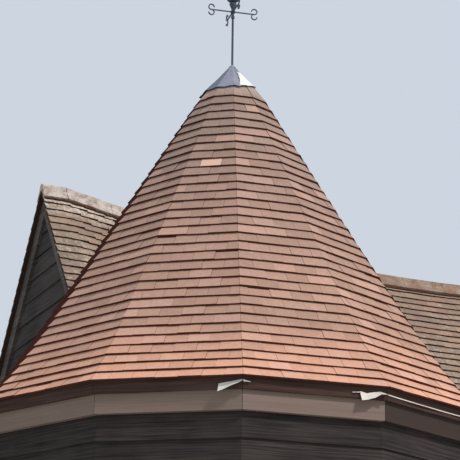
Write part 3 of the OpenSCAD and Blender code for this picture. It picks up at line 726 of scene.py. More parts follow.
def lead_finish(c):
    """Sheet lead, soft grey and darker in its runs, with painted sun glare and painted shade."""
    f = Finish("sheet_lead", Specular_IOR_Level=0.5)
    glare = f.cloud(9.0, 4.0, 0.6)
    run = f.cloud(5.0, 3.0, 0.6, f.stretched(3.0, 3.0, 0.5))
    edge = f.cloud(24.0, 4.0, 0.65)
    tone = f.piece_tone()
    # Painted highlight: a high tone paints the sheet towards the sunlit colour, as sun glare
    base = f.blend(f.spread(tone + glare * 0.24, 0.25, 1.0), c.lead, c.sunlit_lead)
    base = f.blend(f.spread(run, 0.52, 0.72) * 0.35, base, paint(104, 110, 128))
    base = f.blend(f.spread(edge, 0.58, 0.70) * 0.35, base, paint(176, 180, 186))
    # Painted shade: sheets with a tone near 0 are made darker
    base = f.shade(base, 0.72 + f.spread(tone, 0.0, 0.15) * 0.40)
    dent = f.cloud(14.0, 2.0)
    metal = 0.30 - f.spread(tone, 0.4, 0.9) * 0.24
    return f.done(base, 0.40 + glare * 0.22, dent, 0.4, 0.008, metal=metal)


def iron_finish(name, base_colour):
    f = Finish(name, Specular_IOR_Level=0.5)
    chip = f.cloud(120.0, 4.0, 0.7)
    base = f.blend(f.spread(chip, 0.60, 0.72) * 0.5, base_colour, paint(112, 78, 62))
    rough = 0.46 + chip * 0.25
    return f.done(base, rough, chip, 0.3, 0.001, metal=f.spread(chip, 0.75, 0.5) * 0.55)


def joinery_finish(c):
    """Old white paint, dirtier in patches and in the grain."""
    f = Finish("white_joinery", Specular_IOR_Level=0.4)
    grain = f.cloud(1.0, 4.0, 0.6, f.stretched(40.0, 40.0, 4.0))
    dirt = f.cloud(7.0, 4.0, 0.65)
    base = f.blend(f.spread(dirt, 0.50, 0.75) * 0.45, c.joinery, paint(158, 150, 134))
    base = f.shade(base, 0.90 + grain * 0.14)
    return f.done(base, 0.46 + dirt * 0.25, grain, 0.25, 0.001)


def glass_finish():
    """Old window glass, a little uneven, in front of a dark room."""
    f = Finish("old_glass", IOR=1.45, Specular_IOR_Level=0.6, Transmission_Weight=0.85)
    wave = f.cloud(5.0, 2.0)
    dust = f.cloud(12.0, 3.0)
    base = f.blend(f.spread(dust, 0.4, 0.8) * 0.5, paint(150, 170, 172), paint(190, 196, 190))
    return f.done(base, 0.03 + f.spread(dust, 0.5, 0.8) * 0.12, wave, 0.25, 0.004)


def felt_finish(c):
    f = Finish("roof_underlay", Specular_IOR_Level=0.4)
    weave = f.cloud(180.0, 2.0)
    crease = f.cloud(18.0, 3.0)
    base = f.shade(c.felt, 0.78 + weave * 0.16 + crease * 0.2)
    return f.done(base, 0.55 + crease * 0.2, crease + weave * 0.3, 0.4, 0.003)


def settings_of(group):
    """The names of the values in a group of settings."""
    return [n for n in group.bl_rna.properties.keys() if n not in ("rna_type", "name")]


FINISHES = {}


def make_finishes():
    """Makes each finish once, from the colours set on the scene."""
    if FINISHES:
        return FINISHES
    chosen = bpy.context.scene.oast_colours
    c = SimpleNamespace(**{name: tuple(getattr(chosen, name)) for name in settings_of(chosen)})
    FINISHES.update({
        "new_tile": new_tile_finish(c),
        "tile_butt": butt_finish("tile_edge", c.tile_butt),
        "old_butt": butt_finish("old_tile_edge", c.old_butt),
        "old_tile": old_tile_finish(c),
        "ridge_tile": ridge_finish(c),
        "weatherboard": board_finish("weatherboard", c.board, "level", 0.22, toned=True),
        "wall_board": board_finish("wall_backing", tint(c.board, 0.7), "level", 0.1),
        # Painted shade on the frieze past the door side's far corner, in paint(44, 34, 30)
        "frieze_board": board_finish(
            "frieze_board", c.frieze, "level", 0.45, (132, 120, 110), stain_and_shade=paint(44, 34, 30)),
        "eaves_board": board_finish("eaves_board", c.eaves, "level", 0.25),
        # Barge boards: weathered timber, darkened as painted shade
        "barge_board": board_finish("barge_board", c.barge, "level", 0.4, (138, 130, 124)),
        "door_board": board_finish(
            "door_plank", c.door, "upright", 0.35, (128, 112, 96), toned=True),
        "door_back": board_finish("door_backing", tint(c.door, 0.6), "upright", 0.2),
        "rafter": board_finish(
            "sawn_rafter", c.timber, "level", 0.4, (160, 140, 112), rough=0.8),
        "floor_board": board_finish(
            "floor_board", tint(c.timber, 1.1), "level", 0.4, (170, 150, 122)),
        "plinth_brick": brick_finish(c),
        "mortar": mortar_finish("lime_mortar", c.mortar),
        # Painted shade: the ridge mortar is coloured dark as the shadow line under the ridge
        # tiles
        "ridge_mortar": mortar_finish("sooty_mortar", c.ridge_mortar),
        "lead": lead_finish(c),
        "iron": iron_finish("painted_iron", c.iron),
        "door_iron": iron_finish("door_iron", tint(c.iron, 0.3)),
        "painted_joinery": joinery_finish(c),
        "window_glass": glass_finish(),
        "felt": felt_finish(c),
    })
    return FINISHES


# Tiles
def lay_kiln_course(work, sizes, i, k):
    """One course of tiles on one side of the kiln, mitred at both hips."""
    out, along = side_axes(i)
    cos_half = math.cos(HALF)
    nose = HIP[k]
    if k < COURSES:
        pitch = course_pitch(k)
        back = HIP[k + 1] - LAP * Vector((math.sin(pitch), math.cos(pitch)))
    else:
        back = TOP_TILE_END
    low = AXIS + out * nose.x * cos_half + UP * nose.y
    rise = out * (back.x - nose.x) * cos_half + UP * (back.y - nose.y)
    length = rise.length
    rise.normalize()
    half_width = nose.x * cos_half * math.tan(HALF)
    place = place_of(along, rise, low)
    shift = 0.5 * ((k + 1) % 2)
    edges = [(n + shift) * sizes.width for n in range(-8, 9)]
    edges = [e for e in edges if abs(e) < half_width - 0.45 * sizes.width]
    edges = [-half_width - 0.05, *edges, half_width + 0.05]
    verts = []
    for a, b in zip(edges, edges[1:]):
        centre = low + along * (a + b) / 2 + rise * length / 2
        depth = under_barn(centre - AXIS)
        if depth is not None and depth > 0.25:
            continue
        tip = work.rng.uniform(-0.003, 0.003)
        lift = sizes.lift + work.rng.uniform(-0.001, 0.003)
        pale = (i, k) == PALE_PLACE and a < PALE_ALONG < b
        tone = PALE_TILE if pale else work.rng.random() * 0.99
        leaf = loosened(place, work.rng, 0.004, 0.025)
        verts += work.block(
            leaf, (a + sizes.gap / 2, b - sizes.gap / 2), (tip, length + NEW_TAIL),
            (lift - sizes.thickness, lift), tone=tone)
    work.mitre(verts, i, 0.001)


def darken_butts(piece, finish, sideways=math.inf):
    """Gives the faces that look down the slope, not those of the verges, a shaded finish."""
    piece.data.materials.append(make_finishes()[finish])
    for face in piece.data.polygons:
        if face.normal.z < BUTT_SLOPE and abs(face.normal.x) < sideways:
            face.material_index = 1


class OAST_OT_kiln_tiles(bpy.types.Operator):
    """Lays every tile of the kiln roof, course by course, mitred at the hips"""

    bl_idname = "oast.kiln_tiles"
    bl_label = "Kiln tiles"

    def execute(self, context):
        sizes = context.scene.oast_tiles
        work = Workpiece(random.Random(sizes.seed))
        for i in range(1, SIDES + 1):
            for k in range(COURSES + 1):
                lay_kiln_course(work, sizes, i, k)
        darken_butts(work.done("kiln_roof_tiles", "new_tile"), "tile_butt")
        return {"FINISHED"}


def lay_barn_slope(work, sizes, back):
    """Old tiles on one slope of the barn, uneven and cut round the kiln."""
    rng = work.rng
    run = HALF_SPAN / BARN_COURSES
    for k in range(BARN_COURSES):
        x = VERGE_LEFT + sizes.width / 2 * (k % 2 - 1)
        drift = rng.uniform(-0.004, 0.004)
        while x < VERGE_RIGHT - 0.02:
            a, b = max(x, VERGE_LEFT), min(x + sizes.width, VERGE_RIGHT)
            x += sizes.width
            if b - a < 0.03:
                continue
            middle = (a + b) / 2
            low = barn_point(middle, k * run, back)
            along = (barn_point(b, k * run, back) - barn_point(a, k * run, back)).normalized()
            rise = barn_point(middle, (k + 1) * run, back) - low
            length = rise.length
            rise.normalize()
            z = low.z + 0.04
            gap, facing = kiln_gap(low + rise * length / 2, kiln_radius(z))
            if not back and gap < -0.12:
                continue
            place = slope_place(along, rise, low, back)
            leaf = loosened(place, rng, 0.012, 0.03)
            tip = drift + rng.uniform(-0.006, 0.004)
            if k == 0:
                tip = max(tip, -0.002)
            top = 0.002 + rng.uniform(0.0, 0.002)
            half = (b - a - sizes.gap) / 2
            verts = work.block(
                leaf, (-half, half), (tip, length + OLD_TAIL),
                (top - sizes.thickness - 0.002, top))
            up, out = place.to_3x3().col[1], place.to_3x3().col[2]
            tail = [v for v in verts if (v.co - place.translation).dot(up) > length / 2]
            bmesh.ops.translate(work.bm, verts=tail, vec=out * -LAP)
            if not back and gap < 0.16:
                work.scribe(verts, facing, z)


class OAST_OT_barn_tiles(bpy.types.Operator):
    """Lays the old tiles on both slopes of the barn"""

    bl_idname = "oast.barn_tiles"
    bl_label = "Barn tiles"

    def execute(self, context):
        sizes = context.scene.oast_tiles
        for name, back in (("barn_front_tiles", False), ("barn_back_tiles", True)):
            work = Workpiece(random.Random(sizes.seed + 11 + back))
            lay_barn_slope(work, sizes, back)
            darken_butts(work.done(name, "old_tile"), "old_butt", 0.8)
        return {"FINISHED"}


class OAST_OT_ridge(bpy.types.Operator):
    """Beds the ridge tiles in uneven mortar, painted dark as the shade under their edge"""

    bl_idname = "oast.ridge"
    bl_label = "Ridge mortar"

    def execute(self, context):
        work = Workpiece(random.Random(3))
        for back in (False, True):
            x = VERGE_LEFT + 0.01
            while x < VERGE_RIGHT - 0.03:
                end = min(x + work.rng.uniform(0.06, 0.13), VERGE_RIGHT - 0.01)
                self.bed(work, x, end, back)
                x = end
        # The mortar's dark finish is painted shade, the shadow line under the ridge tiles
        work.done("ridge_mortar", "ridge_mortar", "ridge_tile")
        return {"FINISHED"}

    def bed(self, work, x, end, back):
        """One trowel of mortar under the edge of the ridge tiles."""
        middle = (x + end) / 2
        up = HALF_SPAN - RIDGE_REACH * math.cos(math.atan(roof_slope(middle))) - 0.006
        low = barn_point(middle, up, back)
        rise = (barn_point(middle, up + 0.1, back) - low).normalized()
        along = barn_point(end, up, back) - barn_point(x, up, back)
        half = along.length / 2
        top = work.rng.uniform(0.009, 0.015)
        work.block(
            slope_place(along, rise, low, back), (-half, half),
            (-work.rng.uniform(0.002, 0.009), 0.02), (-0.01, top))


# Walls
def free_parts(rect, hole):
    """The parts of a rectangle (left, right, low, high) that a hole leaves."""
    left, right, low, high = rect
    a, b, c, d = hole
    if b <= left or a >= right or d <= low or c >= high:
        return [rect]
    parts = []
    if a > left:
        parts.append((left, a, low, high))
    if b < right:
        parts.append((b, right, low, high))
    inner_left, inner_right = max(left, a), min(right, b)
    if c > low:
        parts.append((inner_left, inner_right, low, c))
    if d < high:
        parts.append((inner_left, inner_right, d, high))
    return parts


def clad(work, sizes, place, span, low, high, holes):
    """Feather-edged boards over a stretch of wall, round its openings."""
    verts = []
    rows = max(1, round((high - low) / sizes.cover))
    cover = (high - low) / rows
    for row in range(rows):
        z0 = low + row * cover
        joints = [span[0]]
        while span[1] - joints[-1] > LONGEST_BOARD:
            joints.append(joints[-1] + work.rng.uniform(0.55, 0.95) * LONGEST_BOARD)
        joints.append(span[1])
        for a, b in zip(joints, joints[1:]):
            tone = work.rng.random()
            foot = sizes.foot + work.rng.uniform(-0.0015, 0.0015)
            slope = (foot - sizes.head) / cover
            rects = [(a + 0.001, b - 0.001, z0, z0 + cover)]
            for hole in holes:
                rects = [r for rect in rects for r in free_parts(rect, hole)]
            for r0, r1, r_low, r_high in rects:
                outer = foot - slope * (r_low - z0)
                verts += work.block(
                    place, (r0, r1), (r_low, r_high), (-0.002, outer),
                    taper=slope * (r_high - r_low), tone=tone)
    return verts


def hole_of(middle, width, low, height, trim=0.0):
    """An opening's left, right, low and high edge, widened all round by trim."""
    return (
        middle - width / 2 - trim, middle + width / 2 + trim, low - trim, low + height + trim)


WALLS = {
    "front": wall_place(BACK * BARN_FRONT, -BACK),
    "back": wall_place(BACK * BARN_BACK, BACK),
    "left": wall_place(RIGHT * BARN_LEFT, -RIGHT),
    "right": wall_place(RIGHT * BARN_RIGHT, RIGHT),
    "kiln": kiln_place(WINDOW_SIDE),
}
# Barn windows: wall, middle along it and sill
WINDOWS = (
    [("front", x, z) for x, z in (
        (WINDOW_A, LOW_SILL), (WINDOW_B, LOW_SILL), (WINDOW_A, HIGH_SILL),
        (DOOR_X, HIGH_SILL), (WINDOW_B, HIGH_SILL))]
    + [("back", -(INNER_LEFT + (n + 0.5) * BACK_BAY), z)
       for z in (LOW_SILL, HIGH_SILL) for n in range(3)]
    + [("left", -SIDE_WINDOW_Y, z) for z in (LOW_SILL, HIGH_SILL)]
    + [("right", RIDGE_Y, LOW_SILL)])
# Doorways: axes of the wall, middle along it, width, foot and height
DOORS = {
    "barn_door": (WALLS["front"], DOOR_X, DOOR_W, 0.0, DOOR_H),
    "kiln_door": (kiln_place(DOOR_SIDE), 0.0, KILN_DOOR_W, 0.0, KILN_DOOR_H),
    "loading_door": (WALLS["right"], RIDGE_Y, LOADING_W, LOFT_Z, LOADING_H),
}


def wall_holes(wall):
    """The openings that the boards of one of the barn's walls leave free."""
    holes = [hole_of(x, WINDOW_W, z, WINDOW_H, FIT) for name, x, z in WINDOWS if name == wall]
    if wall == "front":
        holes.append(hole_of(DOOR_X, DOOR_W + 2 * FRAME, -1.0, DOOR_H + FRAME + 1.0))
    if wall == "right":
        holes.append(hole_of(RIDGE_Y, LOADING_W + 2 * FRAME, LOFT_Z, LOADING_H + FRAME))
    return holes


class OAST_OT_kiln_boards(bpy.types.Operator):
    """Boards the sides of the kiln, mitred at the corners"""

    bl_idname = "oast.kiln_boards"
    bl_label = "Kiln boards"

    def execute(self, context):
        sizes = context.scene.oast_boards
        work = Workpiece(random.Random(31))
        half = WALL_R * math.sin(HALF) + 0.05
        for i in FREE_SIDES:
            holes, low = [], PLINTH_H
            if i == DOOR_SIDE:
                low = 0.02
                holes = [hole_of(0, KILN_DOOR_W + 2 * FRAME, -1, KILN_DOOR_H + FRAME + 1)]
            if i == WINDOW_SIDE:
                holes = [hole_of(0, KILN_WINDOW_W, KILN_SILL, KILN_WINDOW_W, FIT)]
            verts = clad(work, sizes, kiln_place(i), (-half, half), low, FRIEZE_LOW, holes)
            work.mitre(verts, i)
        work.done("kiln_boards", "weatherboard")
        return {"FINISHED"}


class OAST_OT_barn_boards(bpy.types.Operator):
    """Boards the long walls and the gables of the barn"""

    bl_idname = "oast.barn_boards"
    bl_label = "Barn boards"

    def execute(self, context):
        sizes = context.scene.oast_boards
        rng = random.Random(47)
        start = leave_kiln(BACK * BARN_FRONT, RIGHT, WALL_R)
        for name, span in (("front", (start, BARN_RIGHT)), ("back", (-BARN_RIGHT, -BARN_LEFT))):
            work = Workpiece(rng)
            clad(work, sizes, WALLS[name], span, PLINTH_H, WALL_TOP, wall_holes(name))
            work.done(f"barn_{name}_boards", "weatherboard")
        for name, wall_x, flip in (("left", BARN_LEFT, -1.0), ("right", BARN_RIGHT, 1.0)):
            work = Workpiece(rng)
            self.board_gable(work, sizes, name, wall_x, flip)
            work.done(f"barn_{name}_gable_boards", "weatherboard")
        return {"FINISHED"}

    def board_gable(self, work, sizes, name, wall_x, flip):
        """Boards a gable up to the underside of its roof, and round the kiln."""
        slope = roof_slope(wall_x)
        top, eave = RIDGE_Z - ROOF_DEPTH, BARN_EAVES_Z - ROOF_DEPTH
        rows = round((top - PLINTH_H) / sizes.cover)
        cover = (top - PLINTH_H) / rows
        foot = RIGHT * wall_x
        for row in range(rows):
            z = PLINTH_H + row * cover
            front, back = BARN_FRONT, BARN_BACK
            if z > eave:
                front = max(front, EAVE_FRONT + (z - eave) / slope)
                back = min(back, EAVE_BACK - (z - eave) / slope)
            kiln_end = None
            radius = kiln_radius(z + cover / 2)
            if kiln_gap(foot, radius)[0] < 0:
                kiln_end = leave_kiln(foot, BACK, radius)
                front = max(front, kiln_end - 0.12)
            if back - front < 0.03:
                continue
            span = sorted((flip * front, flip * back))
            verts = clad(work, sizes, WALLS[name], span, z, z + cover, wall_holes(name))
            if z + cover > eave:
                for way in (-1.0, 1.0):
                    verts = work.cut_off(
                        verts, AXIS + Vector((wall_x, RIDGE_Y, top)),
                        Vector((0, way * slope, 1)).normalized())
            if kiln_end is not None and kiln_end > front:
                facing = kiln_gap(Vector((wall_x, kiln_end, 0)), radius)[1]
                work.scribe(verts, facing, z + cover / 2)


def lay_bricks(work, sizes, place, length):
    """Stretcher courses over a stretch of plinth, in whole and half bricks."""
    halves = round(2 * length / sizes.brick)
    half = length / halves
    joint = sizes.joint / 2
    for row in range(round(PLINTH_H / BRICK_COURSE)):
        low, high = row * BRICK_COURSE, (row + 1) * BRICK_COURSE
        for n in range(-(row % 2), halves, 2):
            left, right = max(n, 0) * half, min(n + 2, halves) * half
            work.block(
                place, (left + joint, right - joint), (low + joint, high - joint),
                (-0.02, 0.005 + work.rng.uniform(-0.001, 0.0015)))


class OAST_OT_bricks(bpy.types.Operator):
    """Lays the bricks of both plinths"""

    bl_idname = "oast.bricks"
    bl_label = "Plinth bricks"

    def execute(self, context):
        sizes = context.scene.oast_boards
        rng = random.Random(5)
        work = Workpiece(rng)
        half = PLINTH_R * math.sin(HALF)
        for i in FREE_SIDES:
            if i != DOOR_SIDE:
                place = kiln_place(i, PLINTH_R) @ Matrix.Translation((-half, 0, 0))
                lay_bricks(work, sizes, place, 2 * half)
        work.done("kiln_plinth_bricks", "plinth_brick")

        proud = PLINTH_R - WALL_R
        front, back = BARN_FRONT - proud, BARN_BACK + proud
        left, right = BARN_LEFT - proud, BARN_RIGHT + proud
        jamb = DOOR_W / 2 + FRAME
        start_x = leave_kiln(BACK * front, RIGHT, PLINTH_R)
        start_y = leave_kiln(RIGHT * left, BACK, PLINTH_R)
        work = Workpiece(rng)
        for x, y, out, length in (
                (start_x, front, -BACK, DOOR_X - jamb - start_x),
                (DOOR_X + jamb, front, -BACK, right - DOOR_X - jamb),
                (right, front, RIGHT, back - front),
                (right, back, BACK, right - left),
                (left, back, -RIGHT, back - start_y)):
            lay_bricks(work, sizes, wall_place(Vector((x, y, 0)), out), length)
        work.done("barn_plinth_bricks", "plinth_brick")
        return {"FINISHED"}


# Lead and underlay
class OAST_OT_lead(bpy.types.Operator):
    """Dresses the cap in lapped lead sheets with uneven, turned-out lower edges"""

    bl_idname = "oast.lead"
    bl_label = "Lead cap"

    def execute(self, context):
        work = Workpiece(random.Random(9))
        self.spin_core(work)
        for row in LEAD_SHEETS:
            self.bend_sheet(work, *row)
        piece = work.done("lead_dressing", "lead")
        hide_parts("lead_cap")
        return {"FINISHED"}

    def spin_core(self, work):
        """The closed body of the cap, under its sheets."""
        bm = work.bm
        corner = Vector((math.cos(CORNER_TURN), math.sin(CORNER_TURN), 0))
        chain = [
            bm.verts.new(AXIS + corner * r + UP * (CAP_TIP - drop)) for drop, r in CORE_PROFILE]
        edges = [bm.edges.new(pair) for pair in zip(chain, chain[1:])]
        bmesh.ops.spin(
            bm, geom=chain + edges, cent=AXIS, axis=UP, angle=2 * math.pi, steps=SIDES,
            use_merge=True)
        bmesh.ops.remove_doubles(bm, verts=bm.verts[:], dist=1e-5)
        bmesh.ops.recalc_face_normals(bm, faces=bm.faces[:])
        work.give_tone(bm.faces, CORE_TONE)

    def bend_sheet(self, work, first, last, slant, foot_a, foot_b, head, rank, glare):
        """One sheet bent over the sides; rank lifts it over the sheets it laps."""
        columns = round(7 * (last - first))
        phase = work.rng.uniform(0, 6)

        def shape(across, up):
            place = first + slant * up + (last - first - slant * up) * across
            off = (place % 1.0 - 0.5) * 2 * HALF
            turn = CORNER_TURN + place * 2 * HALF
            wave = 0.004 * math.sin(across * columns * 0.8 + phase)
            wave += 0.002 * math.sin(across * columns * 2.1 + 2 * phase)
            low = CAP_Z + foot_a + (foot_b - foot_a) * across + wave
            z = low + (CAP_TIP - head - low) * up
            radius = lead_radius(z) + LEAD_LAP * rank
            if rank >= 0:
                radius += LEAD_FLARE * max(0.0, 1 - up * 5) ** 2
            radius += 0.0012 * math.sin(across * columns + up * 6 + phase) * (1 - up)
            reach = radius * math.cos(HALF) / math.cos(off)
            return AXIS + Vector((math.cos(turn) * reach, math.sin(turn) * reach, z))

        # Each sheet's tone is its painted light: bright as sun glare, or darker as shade near 0
        work.give_tone(work.sheet(columns, 12, shape, LEAD_THICKNESS), glare)


def share_of(values, share):
    """A value read off an evenly spaced list."""
    where = share * (len(values) - 1)
    low = min(int(where), len(values) - 2)
    return values[low] + (values[low + 1] - values[low]) * (where - low)


class OAST_OT_eaves(bpy.types.Operator):
    """Hangs the loose edges of underlay below the lowest course of the kiln"""

    bl_idname = "oast.eaves"
    bl_label = "Eaves underlay"

    def execute(self, context):
        work = Workpiece()
        face = FASCIA_R * math.cos(HALF)
        for side, a, b, tops, drops, lean in FELT_SCRAPS:
            out, along = side_axes(side)

            def shape(across, up):
                fold = 0.004 * math.sin(across * 11 + side) * (1 - up)
                drop = share_of(tops, across) + share_of(drops, across) * (1 - up)
                return (AXIS + along * (a + (b - a) * across)
                        + out * (face + 0.007 + lean * (1 - up) ** 1.4 + fold)
                        + UP * (EAVES_Z - drop))

            work.sheet(16, 4, shape, 0.0015)
        work.done("eaves_underlay", "felt", "painted_joinery")
        return {"FINISHED"}


# Doors and windows
def casing(work, place, hole, sill):
    """Trim boards round an opening, over the ends of the weatherboards."""
    left, right, low, high = hole
    top = high + CASING_W
    for along, up in (
            ((left - CASING_W, left), (low, top)), ((right, right + CASING_W), (low, top)),
            ((left, right), (high, top))):
        work.block(place, along, up, (-0.002, CASING_PROUD))
    if sill:
        work.block(
            place, (left - CASING_W - SILL_REACH, right + CASING_W + SILL_REACH),
            (low - SILL_DEPTH, low), (-0.030, SILL_PROUD))


def glazing_bars(work, place, x, width, low, height):
    """One upright bar and the level bars of a window, in front of its glass."""
    inner_w, inner_h = width - 2 * FRAME, height - 2 * FRAME
    back, front = -REVEAL - 0.048, -REVEAL - 0.012
    work.block(
        place, (x - 0.011, x + 0.011), (low + FRAME, low + FRAME + inner_h), (back, front))
    rows = 3 if height > 0.6 else 2
    for n in range(1, rows):
        z = low + FRAME + inner_h * n / rows
        work.block(
            place, (x - inner_w / 2, x + inner_w / 2), (z - 0.010, z + 0.010),
            (back + 0.001, front - 0.001))


def strap_hinge(irons, place, hung, reach, z):
    """A strap that narrows to its far end, its knuckle and its studs."""
    strap = irons.block(
        place, sorted((hung, hung + reach)), (z - 0.022, z + 0.022),
        (-REVEAL + 0.004, -REVEAL + 0.012))
    along, up = place.to_3x3().col[0], place.to_3x3().col[1]
    far = place @ Vector((hung + reach, z, 0))
    for v in strap:
        offset = v.co - far
        if abs(offset.dot(along)) < 0.01:
            v.co -= up * offset.dot(up) * 0.5
    knuckle = place @ Matrix.Translation((hung, z, -REVEAL + 0.008))
    irons.round_bar(knuckle @ Matrix.Rotation(math.pi / 2, 4, "X"), 0.012, -0.03, 0.03)
    for share in (0.12, 0.38, 0.64, 0.88):
        stud = place @ Matrix.Translation((hung + reach * share, z, -REVEAL + 0.012))
        irons.round_bar(stud, 0.007, -0.002, 0.004, 8)


def ring_latch(irons, place, grip, z):
    """A plate with a ring to pull, from height z up."""
    plate = irons.block(
        place, (grip - 0.02, grip + 0.02), (z, z + 0.14), (-REVEAL + 0.004, -REVEAL + 0.010))
    irons.soften(plate, 0.002)
    ring = place @ Matrix.Translation((grip, z + 0.05, -REVEAL + 0.022))
    section = ring @ Matrix.Translation((0.032, 0, 0)) @ Matrix.Rotation(math.pi / 2, 4, "X")
    start = bmesh.ops.create_circle(
        irons.bm, cap_ends=False, segments=8, radius=0.005, matrix=section)["verts"]
    bmesh.ops.spin(
        irons.bm, geom=start + edges_of(start), cent=ring.translation, axis=ring.to_3x3().col[2],
        angle=2 * math.pi, steps=20, use_merge=True)


def door_leaves():
    """Each leaf: axes of its wall, its ends, foot and height, and which end is hung."""
    for name, (place, x, width, low, height) in DOORS.items():
        if name == "barn_door":
            yield place, x - width / 2, x, low, height, -1
            yield place, x, x + width / 2, low, height, 1
        else:
            yield place, x - width / 2, x + width / 2, low, height, -1


class OAST_OT_joinery(bpy.types.Operator):
    """Fits casings, sills, glazing bars and door planks"""

    bl_idname = "oast.joinery"
    bl_label = "Doors and windows"

    def execute(self, context):
        sizes = context.scene.oast_boards
        rng = random.Random(13)
        trim, bars, boards, irons = Workpiece(rng), Workpiece(), Workpiece(rng), Workpiece()
        windows = [(WALLS[wall], x, WINDOW_W, z, WINDOW_H) for wall, x, z in WINDOWS]
        windows.append((WALLS["kiln"], 0.0, KILN_WINDOW_W, KILN_SILL, KILN_WINDOW_W))
        for place, x, width, low, height in windows:
            casing(trim, place, hole_of(x, width, low, height), True)
            glazing_bars(bars, place, x, width, low, height)
        for place, x, width, low, height in DOORS.values():
            hole = hole_of(x, width + 2 * FRAME, low, height + FRAME)
            casing(trim, place, hole, low > 0)
        for leaf in door_leaves():
            self.plank_leaf(boards, irons, sizes, *leaf)
        bmesh.ops.recalc_face_normals(irons.bm, faces=irons.bm.faces[:])
        bars.done("window_bars", "painted_joinery")
        trim.done("opening_casings", "weatherboard")
        boards.done("door_planks", "door_board")
        irons.done("door_ironwork", "door_iron", "iron")
        return {"FINISHED"}

    def plank_leaf(self, boards, irons, sizes, place, left, right, low, height, hinge):
        """Upright planks on a leaf, with two strap hinges and a ring latch."""
        left, right = left + FIT, right - FIT
        bottom, top = low + FIT, low + height - FIT
        count = round((right - left) / sizes.plank)
        wide = (right - left) / count
        for n in range(count):
            a = left + n * wide
            plank = boards.block(
                place, (a + 0.0015, a + wide - 0.0015), (bottom, top),
                (-REVEAL - 0.010, -REVEAL + 0.006 + boards.rng.uniform(0, 0.001)))
            boards.soften(plank, 0.0025)
        hung = left if hinge < 0 else right
        for share in (0.14, 0.80):
            reach = -hinge * ((right - left) * 0.78)
            strap_hinge(irons, place, hung, reach, bottom + height * share)
        grip = right - 0.07 if hinge < 0 else left + 0.07
        ring_latch(irons, place, grip, bottom + height * 0.45)


# Finishes of the solids
CAD_FINISH = {
    "kiln_plinth": "mortar", "barn_plinth": "mortar", "kiln_frieze": "frieze_board",
    "kiln_fascia": "eaves_board", "lead_cap": "lead", "kiln_door": "door_back",
    "kiln_window_frame": "painted_joinery", "kiln_window_glass": "window_glass",
    "vane_rod": "iron", "compass_arms": "iron", "weathervane": "iron",
    # Under the laid tiles, the solid roofs take the dark tile-edge finishes: painted shade in the
    # joints
    "loft_floor": "floor_board", "barn_tiles_front": "old_butt",
    "barn_tiles_back": "old_butt", "barn_rafters_front": "rafter",
    "barn_rafters_back": "rafter", "ridge_tiles": "ridge_tile",
    "left_barge_boards": "barge_board", "right_barge_boards": "barge_board",
    "barn_fascias": "eaves_board", "barn_door_frame": "door_back",
    "barn_door_left_leaf": "door_back", "barn_door_right_leaf": "door_back",
    "loading_door": "door_back", "barn_window_frames": "painted_joinery",
    "barn_window_glass": "window_glass",
}


class OAST_OT_finishes(bpy.types.Operator):
    """Gives every solid of the frame its finish"""

    bl_idname = "oast.finishes"
    bl_label = "Finishes of the solids"

    def execute(self, context):
        for name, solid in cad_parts.items():
            # Painted shade: the solid kiln roof under the tiles gets the dark tile-edge finish,
            # seen in the joints
            spare = "tile_butt" if name.startswith("kiln_roof") else "wall_board"
            finish = make_finishes()[CAD_FINISH.get(name, spare)]
            if not solid.material_slots:
                solid.data.materials.append(finish)
            for slot in solid.material_slots:
                slot.material = finish
        return {"FINISHED"}


# Stage
def put_in(scene, name, data):
    """Makes an object of a camera, lamp or mesh and links it to the scene."""
    made = bpy.data.objects.new(name, data)
    scene.collection.objects.link(made)
    return made


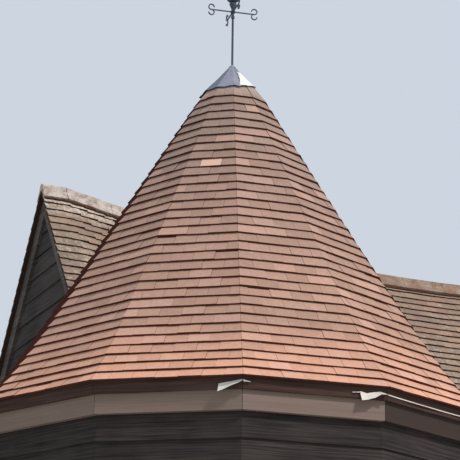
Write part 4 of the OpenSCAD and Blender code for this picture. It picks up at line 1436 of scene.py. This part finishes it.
class OAST_OT_stage(bpy.types.Operator):
    """Sets up the camera, the lights, the pale surroundings and the floor"""

    bl_idname = "oast.stage"
    bl_label = "Stage"

    def execute(self, context):
        scene, stage = context.scene, context.scene.oast_stage
        level = CAMERA_HEADING.normalized()
        ahead = level * math.cos(CAMERA_PITCH) + UP * math.sin(CAMERA_PITCH)
        right = ahead.cross(UP).normalized()
        self.set_camera(scene, stage, ahead, right)
        self.hang_lamp(scene, stage, level, right)
        self.surround(scene, stage)
        self.lay_floor(scene, stage)
        scene.view_settings.view_transform = "Standard"
        return {"FINISHED"}

    def set_camera(self, scene, stage, ahead, right):
        """The photograph's view, rolled a little about its own line."""
        top = right.cross(ahead)
        rolled_right = right * math.cos(CAMERA_ROLL) + top * math.sin(CAMERA_ROLL)
        rolled_top = top * math.cos(CAMERA_ROLL) - right * math.sin(CAMERA_ROLL)
        eye = bpy.data.cameras.new("camera")
        eye.lens, eye.sensor_width, eye.sensor_fit = stage.lens, SENSOR, "HORIZONTAL"
        eye.clip_end = FAR
        camera = put_in(scene, "camera", eye)
        turn = Matrix((rolled_right, rolled_top, -ahead)).transposed().to_4x4()
        camera.matrix_world = Matrix.Translation(AXIS + CAMERA_PLACE) @ turn
        scene.camera = camera

    def hang_lamp(self, scene, stage, level, right):
        lamp = bpy.data.lights.new("key", "SUN")
        lamp.energy, lamp.angle, lamp.color = stage.key, LAMP_SPREAD, LAMP_COLOUR
        to_right, to_front, to_top = LAMP_TOWARD
        toward = right * to_right + level * to_front + UP * to_top
        key = put_in(scene, "key", lamp)
        key.rotation_mode = "QUATERNION"
        key.rotation_quaternion = toward.to_track_quat("Z", "Y")

    def surround(self, scene, stage):
        """Even light all round, and a plain pale sky wherever the surroundings are seen."""
        world = bpy.data.worlds.new("surroundings")
        scene.world = world
        world.use_nodes = True
        nodes, links = world.node_tree.nodes, world.node_tree.links
        nodes.clear()
        path = nodes.new("ShaderNodeLightPath")
        seen = path.outputs["Is Camera Ray"]
        for ray in ("Is Glossy Ray", "Is Transmission Ray"):
            either = nodes.new("ShaderNodeMath")
            either.operation = "MAXIMUM"
            links.new(seen, either.inputs[0])
            links.new(path.outputs[ray], either.inputs[1])
            seen = either.outputs[0]
        mix = nodes.new("ShaderNodeMixShader")
        links.new(seen, mix.inputs[0])
        for n, (tone, strength) in enumerate(((SKY_LIGHT, stage.fill), ((*stage.sky, 1.0), 1.0))):
            glow = nodes.new("ShaderNodeBackground")
            glow.inputs[0].default_value = tone
            glow.inputs[1].default_value = strength
            links.new(glow.outputs[0], mix.inputs[n + 1])
        links.new(mix.outputs[0], nodes.new("ShaderNodeOutputWorld").inputs[0])

    def lay_floor(self, scene, stage):
        bm = bmesh.new()
        bmesh.ops.create_circle(bm, cap_ends=True, segments=96, radius=FLOOR_R)
        mesh = bpy.data.meshes.new("floor")
        bm.to_mesh(mesh)
        bm.free()
        f = Finish("pale_floor", Specular_IOR_Level=0.1)
        tone = f.cloud(0.6, 3.0)
        base = f.shade(tuple(stage.floor), 0.96 + tone * 0.08)
        mesh.materials.append(f.done(base, 0.9 + tone * 0.05))
        floor = put_in(scene, "floor", mesh)
        floor.location.z = -FLOOR_DROP


class OAST_PT_dressing(bpy.types.Panel):
    """Lists the steps that dress the oast house, in their order"""

    bl_idname = "OAST_PT_dressing"
    bl_label = "Oast house"
    bl_space_type = "VIEW_3D"
    bl_region_type = "UI"
    bl_category = "Oast"

    def draw(self, context):
        for name in GROUPS:
            box = self.layout.box()
            group = getattr(context.scene, name)
            for setting in settings_of(group):
                box.prop(group, setting)
        for step in STEPS:
            self.layout.operator(step.bl_idname)


GROUPS = {
    "oast_tiles": OastTileSizes, "oast_boards": OastBoardSizes,
    "oast_colours": OastColours, "oast_stage": OastStage,
}
STEPS = (
    OAST_OT_kiln_tiles, OAST_OT_barn_tiles, OAST_OT_ridge, OAST_OT_kiln_boards,
    OAST_OT_barn_boards, OAST_OT_bricks, OAST_OT_lead, OAST_OT_eaves, OAST_OT_joinery,
    OAST_OT_finishes, OAST_OT_stage,
)


def register():
    for cls in (*GROUPS.values(), *STEPS, OAST_PT_dressing):
        bpy.utils.register_class(cls)
    for name, cls in GROUPS.items():
        setattr(bpy.types.Scene, name, PointerProperty(type=cls))


def unregister():
    for name in GROUPS:
        delattr(bpy.types.Scene, name)
    for cls in reversed((*GROUPS.values(), *STEPS, OAST_PT_dressing)):
        bpy.utils.unregister_class(cls)


def main():
    register()
    for step in STEPS:
        getattr(bpy.ops.oast, step.bl_idname.split(".")[1])()


if __name__ == "__main__":
    main()
